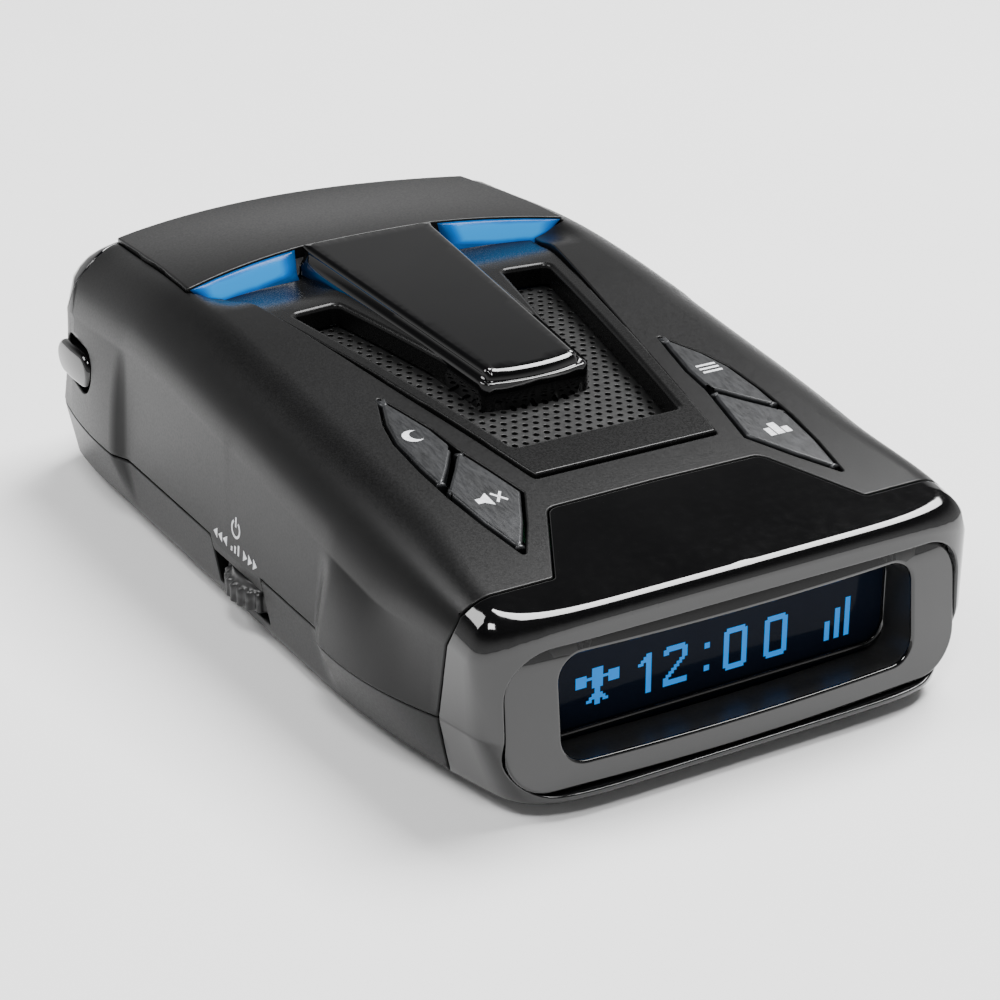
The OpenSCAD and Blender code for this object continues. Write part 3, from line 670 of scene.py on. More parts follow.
def surface(slot, low, high, rough, grain, bump=0.0, metal=0.0, coat=0.0, depth=2e-5, stretch=None, cloud=90.0,
            specular=0.5):
    """A finish with cloudy colour from low to high, a roughness range and fine grain."""
    m, t, b = nodes_of(slot)
    b.inputs["Metallic"].default_value = metal
    b.inputs["Specular IOR Level"].default_value = specular
    b.inputs["Coat Weight"].default_value = coat
    b.inputs["Coat Roughness"].default_value = 0.04
    broad = noise(t, cloud, 3.0)
    fine = noise(t, grain, 2.0, stretch)
    link(t, tinted(t, ranged(t, broad, 0, 1), low, high), b.inputs["Base Color"])
    link(t, ranged(t, fine, rough[0], rough[1]), b.inputs["Roughness"])
    if bump:
        n = t.nodes.new("ShaderNodeBump")
        n.inputs["Strength"].default_value = bump
        n.inputs["Distance"].default_value = depth
        link(t, fine, n.inputs["Height"])
        link(t, n.outputs["Normal"], b.inputs["Normal"])
    MATERIALS[slot] = m


BLACK = (0.003, 0.003, 0.0031), (0.0045, 0.0045, 0.0046)
surface("matt_case", *BLACK, (0.3, 0.39), 3600, 0.3, depth=1.2e-5, specular=0.2)
surface("gloss_black", (0.002, 0.002, 0.0022), (0.003, 0.003, 0.0032), (0.05, 0.09), 900, 0.015, coat=0.3)
surface("satin_plate", *BLACK, (0.24, 0.32), 3600, 0.25, depth=1.2e-5, specular=0.2)
surface("smoked_window", (0.004, 0.006, 0.012), (0.005, 0.008, 0.015), (0.05, 0.09), 600, 0.0, specular=0.03)
surface("dark_window", (0.002, 0.002, 0.003), (0.004, 0.003, 0.0035), (0.04, 0.08), 700, 0.01, coat=0.3)
surface("black_mesh", (0.018, 0.018, 0.018), (0.03, 0.03, 0.03), (0.32, 0.45), 2500, 0.2, metal=0.5)
surface("key_metal", (0.010, 0.0105, 0.0115), (0.02, 0.021, 0.023), (0.3, 0.45), 4200, 0.25, metal=0.4,
        stretch=(1.0, 0.12, 1.0), depth=1e-5, cloud=400)
surface("key_rubber", (0.02, 0.02, 0.021), (0.03, 0.03, 0.031), (0.6, 0.75), 2000, 0.3)
surface("circuit_board", (0.01, 0.07, 0.03), (0.02, 0.11, 0.05), (0.3, 0.5), 700, 0.2)
surface("flex_cable", (0.28, 0.12, 0.03), (0.38, 0.18, 0.05), (0.3, 0.45), 900, 0.1)
surface("switch_metal", (0.4, 0.4, 0.42), (0.55, 0.55, 0.57), (0.25, 0.4), 1200, 0.1, metal=1.0)
surface("capacitor_sleeve", (0.01, 0.01, 0.05), (0.02, 0.02, 0.09), (0.25, 0.4), 700, 0.05)
surface("die_cast", (0.35, 0.35, 0.36), (0.48, 0.48, 0.49), (0.35, 0.55), 1600, 0.35, metal=1.0)
surface("tinned_steel", (0.55, 0.55, 0.56), (0.66, 0.66, 0.67), (0.2, 0.35), 1100, 0.1, metal=1.0)
surface("ceramic", (0.5, 0.45, 0.35), (0.6, 0.55, 0.44), (0.4, 0.6), 1300, 0.15)
surface("basket_steel", (0.03, 0.03, 0.032), (0.05, 0.05, 0.052), (0.35, 0.5), 1500, 0.1, metal=0.8)
surface("cone_paper", (0.015, 0.015, 0.015), (0.025, 0.025, 0.025), (0.75, 0.9), 2200, 0.5)
surface("ferrite", (0.03, 0.03, 0.032), (0.05, 0.05, 0.052), (0.4, 0.6), 1500, 0.2)
surface("socket_black", (0.012, 0.012, 0.012), (0.018, 0.018, 0.018), (0.3, 0.45), 1800, 0.15)
surface("wheel_plastic", (0.014, 0.014, 0.0145), (0.02, 0.02, 0.0205), (0.28, 0.42), 2600, 0.2)
surface("inner_plastic", (0.05, 0.05, 0.052), (0.08, 0.08, 0.082), (0.4, 0.55), 1800, 0.2)
surface("pin_steel", (0.5, 0.5, 0.51), (0.62, 0.62, 0.63), (0.15, 0.3), 1500, 0.05, metal=1.0)
surface("screw_steel", (0.08, 0.08, 0.085), (0.14, 0.14, 0.145), (0.25, 0.45), 1500, 0.15, metal=1.0)
surface("foot_rubber", (0.012, 0.012, 0.012), (0.022, 0.022, 0.022), (0.75, 0.9), 2500, 0.4)
surface("label_foil", (0.42, 0.42, 0.43), (0.5, 0.5, 0.51), (0.3, 0.45), 1400, 0.08, metal=0.6)


def glowing(slot, colour, strength, base=(0.01, 0.05, 0.12)):
    """A finish that gives light, a little uneven."""
    m, t, b = nodes_of(slot)
    b.inputs["Emission Strength"].default_value = strength
    b.inputs["Specular IOR Level"].default_value = 0.05
    grain = noise(t, 1500, 2.0)
    uneven = ranged(t, noise(t, 120, 2.0), 0, 1)
    link(t, tinted(t, uneven, [c * 0.85 for c in colour], colour), b.inputs["Emission Color"])
    b.inputs["Base Color"].default_value = (*base, 1)
    link(t, ranged(t, grain, 0.25, 0.35), b.inputs["Roughness"])
    MATERIALS[slot] = m


glowing("display_glow", (0.0, 0.30, 1.0), 0.85)
glowing("led_white", (0.7, 0.85, 1.0), 1.0, base=(0.8, 0.8, 0.8))


def lens_material():
    """Blue lit plastic that gives its own light, bright in the middle of the face; the deeper blue towards its edges
    is painted shade.
    """
    m, t, b = nodes_of("blue_lens")
    edge = t.nodes.new("ShaderNodeAttribute")
    edge.attribute_name = "depth"
    soft = t.nodes.new("ShaderNodeMath")
    soft.operation = "ADD"
    link(t, edge.outputs["Fac"], soft.inputs[0])
    link(t, ranged(t, noise(t, 260, 2.0), -0.06, 0.06), soft.inputs[1])
    # Painted shade: the ramp's dark end darkens the glow towards the face's edges and down its skirt, as shade under
    # the cap's edge and in the gap to the plate.
    ramp = t.nodes.new("ShaderNodeValToRGB")
    stops = ramp.color_ramp.elements
    stops[0].position, stops[0].color = 0.0, (0.0, 0.02, 0.09, 1)
    stops[1].position, stops[1].color = 0.62, (0.0, 0.38, 1.0, 1)
    middle = stops.new(0.28)
    middle.color = (0.0, 0.14, 0.6, 1)
    link(t, soft.outputs[0], ramp.inputs["Fac"])
    link(t, ramp.outputs["Color"], b.inputs["Emission Color"])
    b.inputs["Specular IOR Level"].default_value = 0.12
    b.inputs["Emission Strength"].default_value = 0.9
    b.inputs["Base Color"].default_value = (0.0, 0.03, 0.09, 1)
    link(t, ranged(t, noise(t, 1800, 2.0), 0.16, 0.26), b.inputs["Roughness"])
    MATERIALS["blue_lens"] = m


lens_material()


def print_material():
    """Thin white ink."""
    m, t, b = nodes_of("white_print")
    speckle = ranged(t, noise(t, 2500, 2.0), 0, 1)
    link(t, tinted(t, speckle, (0.55, 0.56, 0.58), (0.8, 0.81, 0.83)), b.inputs["Base Color"])
    link(t, ranged(t, noise(t, 2200, 2.0), 0.5, 0.65), b.inputs["Roughness"])
    return m


WHITE = print_material()

# ---------------------------------------------------------------- case panels
GAP = 0.16                  # open width of the seams
LIP = 0.22                  # radius rolled along every panel edge
OFF = GAP / 2 + LIP         # from a seam's middle to the start of the lip
STEP = 1.5                  # usual distance between points
THICK = 1.5
LOW_V = -LOWER_V - ROUND_V  # the flat bottom's edge
PART_UP_V = 0.32            # lower edge of the upper shell
PART_DOWN_V = -0.38         # upper edge of the lower shell
JOINT_Y, JOINT_LEAN = -44.9, 0.19               # the hood's joint on the side wall
SEAM_Y, SEAM_Z, SEAM_LEAN = 49.3, 23.0, 0.262   # the front window's seam on the side wall
TAB_Y, TAB_Z = (-9.0, 4.1), 7.6                 # the upper shell's tab over the volume wheel
NOTCH_Y, NOTCH_Z = (-9.1, 4.2), 3.4             # the lower shell's notch round the wheel
RELEASE_Y, RELEASE_Z, RELEASE_FLAT = 44.4, 17.2, 2.7    # release button, and from its middle to its round ends
RELEASE_SLOT_R, RELEASE_R = 2.95, 2.45
JACK_Y, JACK_Z, JACK_R = 14.0, 16.4, 3.9        # DC socket
USB_Y, USB_Z = (-3.9, 4.9), (11.85, 15.35)      # USB opening
BRACKET_X, BRACKET_Z = (-29.0, -7.0), (4.8, 7.2)    # bracket slot in the front
SCREW_X, SCREW_Y, SCREW_R = 27, (-38, 34), 2.5  # screw wells in the bottom


def joint_u(v, off):
    """Where the leaning joint between hood and shells crosses the wall; off moves it forwards."""
    v = np.asarray(v, float)

    def f(u):
        p = skin(u, v)
        return p[..., 1] - JOINT_Y + JOINT_LEAN * p[..., 2] - off
    return solve(f, np.zeros(v.shape), np.full(v.shape, float(u_at_y(-35.0, 0.0))))


def seam_u(v, off):
    """Where the front window's seam crosses the wall."""
    v = np.asarray(v, float)

    def f(u):
        p = skin(u, v)
        return p[..., 1] - SEAM_Y - SEAM_LEAN * (SEAM_Z - p[..., 2]) - off
    return solve(f, np.full(v.shape, float(u_at_y(30.0, 0.0))), np.full(v.shape, float(u_at_y(56.5, 0.0))))


def spaced(a, b, step):
    """Even steps from a to b, about step long."""
    return np.linspace(a, b, max(2, int(abs(b - a) / step) + 1))


def column(crossing, v0, v1, off, step=1.3):
    """Points up a seam on the wall, from v0 to v1."""
    v = spaced(v0, v1, step)
    return np.column_stack([crossing(v, off), v])


def row(u0, u1, v, step=STEP):
    """Points along the wall at one v."""
    u = spaced(u0, u1, step)
    return np.column_stack([u, np.full(len(u), v)])


def loop_of(*parts):
    """Joins open polylines whose ends meet into one loop."""
    out = []
    for p in parts:
        for q in p:
            if not out or np.linalg.norm(np.asarray(q) - out[-1]) > 1e-6:
                out.append(np.asarray(q, float))
    if np.linalg.norm(out[0] - out[-1]) < 1e-6:
        out.pop()
    return np.array(out)


def edge_xy(u0, u1, step=STEP):
    """The shoulder outline in plan, with the same points as the wall's top row."""
    return skin(spaced(u0, u1, step), WALL_V)[:, :2]


def shoulder_rings():
    """Free points that follow the rounded edge of the top."""
    out = []
    tau = np.interp(np.arange(0, U_END, STEP), U_FINE, TAU_FINE)
    x, y = outline(2, tau)
    e = 1e-3
    ax, ay = outline(2, np.clip(tau - e, 0, 3))
    bx, by = outline(2, np.clip(tau + e, 0, 3))
    n = np.maximum(np.hypot(bx - ax, by - ay), 1e-9)
    r = edge_radius(tau, y)
    for a in (10, 20, 30, 41, 52, 64, 77, 90):
        d = r * (1 - math.cos(math.radians(a)))
        out.append(np.column_stack([x - (by - ay) / n * d, y + (bx - ax) / n * d]))
    right = np.concatenate(out)
    right = right[right[:, 0] > 0.05]
    return np.concatenate([right, right * [-1, 1]])


RINGS = shoulder_rings()
TONGUE_NOTCH = (19.7, -49.4)
TONGUE_CORNER = (13.6, -38.1)


def joint_xy(side):
    """The hood joint across the top, right to left; side -1 is the shells' edge and +1 the hood's."""
    xs = np.linspace(31.5, TONGUE_NOTCH[0], 12)
    ys = np.full(len(xs), -49.3)
    for _ in range(12):
        ys = JOINT_Y - JOINT_LEAN * top_z(xs, ys)
    line = list(zip(xs, ys))
    line[-1] = (TONGUE_NOTCH[0], float(ys[-1]))
    half = rounded(np.array(line + [TONGUE_CORNER, (0.0, -37.9)]),
                   [0.01] * (len(line) - 1) + [0.7, 1.6, 0.01], 6, closed=False)
    full = np.concatenate([half, mirrored(half)[1:]])
    full = dense(inset(dense(full, 1.2, False), side * OFF, False), 1.2, False)
    end = skin(joint_u(WALL_V, -side * OFF), WALL_V)[:2]
    full = full[(np.abs(full[:, 0]) < end[0] - 0.5)]
    return np.concatenate([[end], full, [end * [-1, 1]]])


def seam_half():
    """Right half of the front window's rear seam across the top."""
    xs = np.linspace(0, 28, 22)
    line = list(zip(xs, 55.4 - 0.01 * xs * xs)) + [(30.6, 46.9), (32.0, 47.5), (32.9, 49.6)]
    return rounded(np.array(line), 1.2, 3, closed=False)


SEAM_HALF = seam_half()     # from the front centre to the right


def seam_end(off):
    """Where that seam meets the shoulder."""
    return skin(seam_u(WALL_V, off), WALL_V)[:2]


def seam_window():
    """The front window's rear edge on the top, left to right."""
    full = np.concatenate([mirrored(SEAM_HALF)[:-1], SEAM_HALF])
    full = inset(dense(full, 1.2, False), OFF, False)
    end = seam_end(OFF)
    full = full[np.abs(full[:, 0]) < end[0] - 0.4]
    return np.concatenate([[end * [-1, 1]], full, [end]])


# Corners of the front cap and of the grille plate, in plan.
CAP_FRONT = (25.5, 55.4 - 0.01 * 25.5 ** 2)
CAP_REAR = (26.6, 24.1)
CAP_MID = (9.5, 28.35)
PLATE_FRONT = (21.95, 24.5)
PLATE_REAR = (11.78, -32.48)


def well_xy():
    """The upper shell's front edge, right to left: the window seam, then round the cap and the grille plate."""
    seam = SEAM_HALF[::-1]
    seam = seam[seam[:, 0] > CAP_FRONT[0] + 0.3]
    half = list(seam) + [CAP_FRONT, CAP_REAR, (PLATE_FRONT[0] + 0.15, 24.25), PLATE_REAR, (0.0, PLATE_REAR[1])]
    radii = [0.01] * len(seam) + [0.5, 0.3, 0.5, 0.35, 0.01]
    half = rounded(np.array(half), radii, 4, closed=False)
    full = np.concatenate([half, mirrored(half)[1:]])
    full = dense(inset(dense(full, 1.4, False), OFF, False), 1.4, False)
    end = seam_end(-OFF)
    far = np.abs(full[:, 0]) > 20
    full = full[~(far & (np.abs(full[:, 0]) > end[0] - 0.4))]
    return np.concatenate([[end], full, [end * [-1, 1]]])


KEY_WELL = [(18.8, -9.6), (21.3, -15.8), (22.25, -20.0), (22.5, -26.0), (22.3, -32.0), (21.6, -38.1),
            (20.4, -44.9), (17.2, -39.8), (14.3, -34.4), (15.25, -29.4), (16.45, -23.5), (16.8, -18.8), (17.95, -13.2)]
KEY_WELL_R = [0.25, 2, 2, 3, 3, 3, 0.25, 3, 0.4, 2, 2, 2, 2]


def stepped(line, a, b, tip):
    """A level line on the wall with a tab or notch between u = a and b that reaches to v = tip."""
    v = line[0, 1]
    tab = rounded(np.array([(a - 1.5, v), (a, v), (a, tip), (b, tip), (b, v), (b + 1.5, v)]), 0.35, 4, closed=False)
    return np.concatenate([line[line[:, 0] < a - 1.6], dense(tab, 0.8, False), line[line[:, 0] > b + 1.6]])


def right_wall(left=False):
    """One side wall of the upper shell as patch loops; the left one has the wheel tab and the button slot."""
    u_rear, u_front = joint_u(PART_UP_V, OFF), seam_u(PART_UP_V, -OFF)
    bottom = row(u_rear, u_front, PART_UP_V)
    if left:
        a, b = (float(u_at_y(y, 0.0)) for y in TAB_Y)
        bottom = stepped(bottom, a, b, low_v(TAB_Z + LIP + 0.03))
    outer = loop_of(bottom, column(seam_u, PART_UP_V, WALL_V, -OFF),
                    row(joint_u(WALL_V, OFF), seam_u(WALL_V, -OFF), WALL_V)[::-1],
                    column(joint_u, PART_UP_V, WALL_V, OFF)[::-1])
    t = full_turn(32)
    c, s = np.cos(t), np.sin(t)
    if left:
        r = RELEASE_SLOT_R + LIP
        holes = [(RELEASE_Y + c * r + np.sign(c) * RELEASE_FLAT, RELEASE_Z + s * r)]
    else:
        holes = [(JACK_Y + (JACK_R + LIP) * c, JACK_Z + (JACK_R + LIP) * s)]
        slot = box2(USB_Y[0] - LIP, USB_Z[0] - LIP, USB_Y[1] + LIP, USB_Z[1] + LIP)
        slot = dense(rounded(slot, 0.9, 6), 1.2)
        holes.append((slot[:, 0], slot[:, 1]))
    loops = [outer] + [np.column_stack(side_uv(y, z))[::-1] for y, z in holes]
    if left:
        loops = [(p * [-1, 1])[::-1] for p in loops]
    return loops


def upper_shell():
    """Both side walls and the top, with openings for the keys, the grille plate and the cap."""
    side = edge_xy(joint_u(WALL_V, OFF), seam_u(WALL_V, -OFF))
    top = loop_of(side, well_xy(), mirrored(side), joint_xy(-1)[::-1])
    well = dense(rounded(np.array(KEY_WELL), KEY_WELL_R, 4), 1.2)
    hole = inset(well if area(well) > 0 else well[::-1], -LIP)
    bm = weld([patch(right_wall(), on_skin, 1.0, 0.7), patch(right_wall(True), on_skin, 1.0, 0.7),
               patch([top, hole, mirrored(hole)], on_top, STEP, STEP, extra=RINGS)])
    add_lips(bm, LIP, THICK)
    return build("upper_shell_skin", bm, "matt_case", replaces=["upper_shell"])


def bottom_patch(low_row, step, spacing, holes=()):
    """The flat bottom inside the wall's lowest row, closed by a straight line."""
    base = skin(low_row[:, 0], LOW_V)[:, :2]
    close = dense(np.array([base[-1], base[0]]), step, False)
    flat = at_height(lambda x, y: np.full(len(x), CASE_LOW))
    return patch([loop_of(base, close[1:-1]), *holes], flat, spacing, spacing, flip=True)


def lower_shell():
    """Tray with one wall from the joint round the nose and back, the wheel notch and the bracket slot."""
    u0, low_u = joint_u(PART_DOWN_V, OFF), joint_u(LOW_V, OFF)
    b, a = (2 * U_END - float(u_at_y(y, 0.0)) for y in NOTCH_Y)
    top = stepped(row(u0, 2 * U_END - u0, PART_DOWN_V), a - LIP, b + LIP, low_v(NOTCH_Z - LIP))
    low_row = row(low_u, 2 * U_END - low_u, LOW_V)
    rear = column(joint_u, LOW_V, PART_DOWN_V, OFF, 0.7)
    far = rear * [-1, 1] + [2 * U_END, 0]
    wall_loop = loop_of(low_row, far, top[::-1], rear[::-1])
    slot = rounded(box2(BRACKET_X[0], BRACKET_Z[0], BRACKET_X[1], BRACKET_Z[1]), 0.5, 4)
    slot = dense(inset(slot, -LIP), 0.9)
    v = low_v(slot[:, 1])
    slot = np.column_stack([front_u(slot[:, 0], v), v])
    t = full_turn(32)
    ring = np.column_stack([np.cos(t), np.sin(t)]) * (SCREW_R + LIP)
    holes = [ring + [side * SCREW_X, y] for side in (-1, 1) for y in SCREW_Y]
    bm = weld([patch([wall_loop, slot], on_skin, STEP, 0.8), bottom_patch(low_row, STEP, 3, holes)])
    add_lips(bm, LIP, 1.3)
    return build("lower_shell_skin", bm, "matt_case", replaces=["lower_shell"])


# The display face leans back and bows: the middle stands out further than the corners.
FACE_Z0 = 4.0
LEAN = math.radians(5.7)
BEZEL = (28.7, -1.15, 15.4, 5.2)                # half width, low and high edge, corner radius
WINDOW_HALF, WINDOW_LOW, WINDOW_HIGH, WINDOW_R = 22.4, 1.7, 13.6, 2.8
BEZEL_SET = 0.5     # how far the face lies behind the case's end
BEZEL_LIP = 0.4
TUBE_Y = -54.6      # behind this the face has turned into the tube
GLASS_Y = -50.5


def plate_loop(half, low, high, r, step=1.1):
    return dense(rounded(box2(-half, low, half, high), r, 10), step)


def face_y(x, z):
    """The display face; near the brow it rolls back."""
    roll = 0.1 * np.maximum(0, z - 16.7) ** 2
    return -HALF_L + BEZEL_SET + 0.00178 * x * x + math.tan(LEAN) * (z - FACE_Z0) + roll


def on_face(p):
    z = FACE_Z0 + p[:, 1] * math.cos(LEAN)
    return np.column_stack([p[:, 0], face_y(p[:, 0], z), z])


def display_hood():
    """Glossy end of the case: wall with the bezel's opening, top with its tongue, and bottom."""
    u_top = float(joint_u(WALL_V, -OFF))
    u_low = float(joint_u(LOW_V, -OFF))
    right = column(joint_u, LOW_V, WALL_V, -OFF, 1.0)
    top_row = row(-u_top, u_top, WALL_V, 1.0)
    low_row = row(-u_low, u_low, LOW_V, 1.0)
    opening = plate_loop(*BEZEL)
    u, v = rear_uv(opening[:, 0], FACE_Z0 + opening[:, 1] * math.cos(LEAN))
    hole = inset(np.column_stack([u, v]), -BEZEL_LIP)
    wall_loop = loop_of(low_row, right, top_row[::-1], (right * [-1, 1])[::-1])
    edge = skin(top_row[:, 0], WALL_V)[:, :2]
    top = loop_of(edge, joint_xy(1))
    bm = weld([patch([wall_loop, hole], on_skin, 0.9, 0.8), patch([top], on_top, 1.2, 1.2, extra=RINGS),
               bottom_patch(low_row, STEP, 2)])
    add_lips(bm, LIP, THICK)
    return build("display_hood_skin", bm, "gloss_black", replaces=["display_hood"])


def display_bezel():
    """The face round the display and the tube that leads in to the glass."""
    outer = inset(plate_loop(*BEZEL), BEZEL_LIP)
    window = inset(plate_loop(WINDOW_HALF, WINDOW_LOW, WINDOW_HIGH, WINDOW_R, 0.8), -BEZEL_LIP)
    bm = weld([patch([outer, window], on_face, 1.2, 1.0)])
    add_lips(bm, BEZEL_LIP, 5.2, closed=False, steps=4)
    # The tube's end stops at the glass; the tube itself is less shiny than the face.
    for q in bm.verts:
        q.co.y = min(q.co.y, GLASS_Y - 0.04)
    for f in bm.faces:
        middle = f.calc_center_median()
        f.material_index = int(middle.y > TUBE_Y and abs(middle.x) < WINDOW_HALF + 0.6)
    obj = build("display_bezel_skin", bm, "gloss_black", replaces=["display_bezel"])
    obj.data.materials.append(MATERIALS["socket_black"])
    return obj


def display_frame():
    """Thin rounded frame round the glass, at the bottom of the tube."""
    loop = plate_loop(WINDOW_HALF - 0.1, WINDOW_LOW + 0.15, WINDOW_HIGH - 0.1, WINDOW_R, 0.6)
    z = FACE_Z0 + loop[:, 1] * math.cos(LEAN)
    e = np.roll(loop, -1, 0) - np.roll(loop, 1, 0)
    e /= np.linalg.norm(e, axis=1)[:, None]
    inward = np.column_stack([-e[:, 1], e[:, 0]])
    bm = bmesh.new()
    rings = []
    for t in full_turn(12):
        r = 0.28 + 0.16 * (1 + math.cos(t)) / 2
        y = GLASS_Y - 0.34 + 0.28 * math.sin(t)
        rings.append([bm.verts.new((p[0] + m[0] * r * math.cos(t), y, q + m[1] * r * math.cos(t)))
                      for p, m, q in zip(loop, inward, z)])
    join_rings(bm, rings + rings[:1])
    bmesh.ops.recalc_face_normals(bm, faces=bm.faces)
    return build("display_tube_frame", bm, "gloss_black", weighted=False)


def front_window():
    """Dark window round the whole nose above the parting line."""
    u_top = seam_u(WALL_V, OFF)
    u_low = seam_u(PART_UP_V, OFF)
    right = column(seam_u, PART_UP_V, WALL_V, OFF)
    wall_loop = loop_of(row(u_low, 2 * U_END - u_low, PART_UP_V), right * [-1, 1] + [2 * U_END, 0],
                        row(u_top, 2 * U_END - u_top, WALL_V)[::-1], right[::-1])
    edge = edge_xy(u_top, 2 * U_END - u_top)
    bm = weld([patch([wall_loop], on_skin, STEP, 1.15),
               patch([loop_of(edge, seam_window())], on_top, 1.3, 1.3, extra=RINGS)])
    add_lips(bm, LIP, 1.2)
    return build("front_window_skin", bm, "dark_window", replaces=["front_window"])


# ---------------------------------------------------------------- top plates
MESH_REAR_Y, MESH_FRONT_Y = -26.4, 13.6
MESH_DEPTH = 2.85
SPINE_REAR, SPINE_FRONT = -12.8, 28.2
SPINE_REAR_HALF, SPINE_FRONT_HALF = 6.1, 9.1


def mesh_half(y):
    """Half width of the grille opening."""
    return mix(10.8, 17.5, (y - MESH_REAR_Y) / 38.4)


def spine_z(y):
    """The spine's sloping top."""
    return mix(30.2, 33.65, (y - SPINE_REAR) / (SPINE_FRONT - SPINE_REAR))


def opening_loop(grow=0.0):
    """The grille opening: a trapezoid with a ledge along both sides of the spine."""
    half = [(0.0, MESH_REAR_Y), (mesh_half(MESH_REAR_Y), MESH_REAR_Y), (mesh_half(MESH_FRONT_Y), MESH_FRONT_Y),
            (11.6, MESH_FRONT_Y + 0.6), (7.4, -7.5), (0.0, -7.5)]
    half = rounded(np.array(half), [0.01, 0.7, 0.9, 0.9, 1.0, 0.01], 6, closed=False)
    loop = np.concatenate([half, mirrored(half)[1:-1]])
    return inset(dense(loop, 1.2), -grow)


def cap_z(x, y):
    """The front cap's top: crowned, and coming down towards the nose."""
    return arch_z(y) + (2.6 - 0.0018 * x * x) * (1 - ease((y - 24) / 33))


def grille_frame():
    """Plate round the grille opening, dipping in front of the alert lenses."""
    half = [PLATE_REAR, PLATE_FRONT, (10.3, 27.9)]
    loop = dense(rounded(np.concatenate([half, mirrored(half)]), 0.3, 4), 1.4)
    outer = inset(loop, OFF)
    inner = inset(opening_loop(), -0.7)
    bm = weld([patch([outer, inner], at_height(lambda x, y: arch_z(y) + 0.25 - 1.3 * ease((y - 15.5) / 9)))])
    # The inner edge rolls over further than the outer one, down to the mesh.
    marks = {v for v in bm.verts if abs(v.co.x) < mesh_half(v.co.y) + 1.0
             and MESH_REAR_Y - 1.2 < v.co.y < MESH_FRONT_Y + 1.6}
    lips_by_place(bm, lambda v: (0.7, 2.0) if v in marks else (LIP, 1.6))
    return build("grille_frame_plate", bm, "satin_plate", replaces=["grille_frame"])


def speaker_mesh():
    """Bent sheet with staggered round holes."""
    pitch, r = 1.4, 0.44
    outer = opening_loop(0.9)
    area_loop = opening_loop(-0.15)
    t = full_turn(8) + math.pi / 8
    ring = np.column_stack([np.cos(t), np.sin(t)]) * r
    xs = np.arange(-19, 19.1, pitch)
    centres = []
    for i, y in enumerate(np.arange(MESH_REAR_Y, MESH_FRONT_Y + 1, pitch * math.sqrt(3) / 2)):
        for x in xs + (pitch / 2 if i % 2 else 0):
            centres.append((x, y))
    centres = np.array(centres)
    centres = centres[inside(centres, [area_loop])]
    centres = centres[clearance(centres, [outer]) > r + 0.35]
    # The holes' own points are enough, so the grid is wider than the sheet.
    holes = [ring + c for c in centres]
    bm = weld([patch([outer] + holes, at_height(lambda x, y: arch_z(y) - MESH_DEPTH), 60, 60)], 1e-4)
    add_lips(bm, 0.07, 0.35, steps=1)
    return build("speaker_mesh_sheet", bm, "black_mesh", replaces=["speaker_mesh"], weighted=False)


def spine_cover():
    """Raised spine: slanting sides, rounded top edges and a rounded, slightly bowed nose."""
    rear, front = SPINE_REAR_HALF, SPINE_FRONT_HALF
    nose = [(x, SPINE_REAR - 0.9 * (1 - (x / rear) ** 2)) for x in np.linspace(-4.9, 4.9, 9)][1:-1]
    corners = [(-rear, SPINE_REAR)] + nose + [(rear, SPINE_REAR), (front, SPINE_FRONT), (-front, SPINE_FRONT)]
    loop = rounded(np.array(corners), [0.9] + [0.0] * len(nose) + [0.9, 0.15, 0.15], 6)
    loop = dense(loop, 0.7)
    n = len(loop)
    e = np.roll(loop, -1, 0) - np.roll(loop, 1, 0)
    e /= np.linalg.norm(e, axis=1)[:, None]
    out = np.column_stack([e[:, 1], -e[:, 0]])
    at_front = loop[:, 1] > SPINE_FRONT - 0.2

    def ring(grow, z):
        g = grow * (np.abs(out[:, 0]) + 0.45 * np.abs(out[:, 1]))
        g = np.where(at_front, 0.0, g)
        p = loop + out * g[:, None]
        return np.column_stack([p, z(p[:, 1])])
    r_side = 0.75
    nose_r = np.where(loop[:, 1] < SPINE_REAR + 0.6, 1.25, r_side)

    def top_ring(a):
        d = nose_r * (1 - math.cos(a))
        p = loop - out * np.where(at_front, 0.15 * (1 - math.cos(a)), d)[:, None]
        return np.column_stack([p, spine_z(p[:, 1]) - nose_r * (1 - math.sin(a))])
    rings = [ring(1.15, lambda y: arch_z(y) - MESH_DEPTH - 0.35), ring(1.05, lambda y: arch_z(y) - 1.0),
             ring(1.0, lambda y: arch_z(y) + 0.3), ring(0.45, lambda y: mix(arch_z(y), spine_z(y) - r_side, 0.6))]
    rings += [top_ring(a) for a in np.radians([0, 15, 32, 50, 70, 90])]
    parts = []
    for lo, hi in zip(rings[:-1], rings[1:]):
        faces = [(i, (i + 1) % n, n + (i + 1) % n, n + i) for i in range(n)]
        parts.append((np.concatenate([lo, hi]), faces))
    parts.append(patch([rings[-1][:, :2]], at_height(lambda x, y: spine_z(y)), 1.2, 1.2))
    parts.append(patch([rings[0][:, :2]], at_height(lambda x, y: arch_z(y) - MESH_DEPTH - 0.35), 3, 3, flip=True))
    bm = weld(parts)
    return build("spine_cover_body", bm, "gloss_black", replaces=["spine_cover"])


def cap_rear(x):
    """Rear edge of the cap in plan."""
    side = max(0.0, x - CAP_MID[0])
    edge = CAP_MID[1] - 0.006 * side ** 2 - 0.145 * side
    last = 23 - CAP_MID[0]
    corner = CAP_MID[1] - 0.006 * last ** 2 - 0.145 * last
    return edge if x < 23 else mix(corner, CAP_REAR[1], (x - 23) / (CAP_REAR[0] - 23))


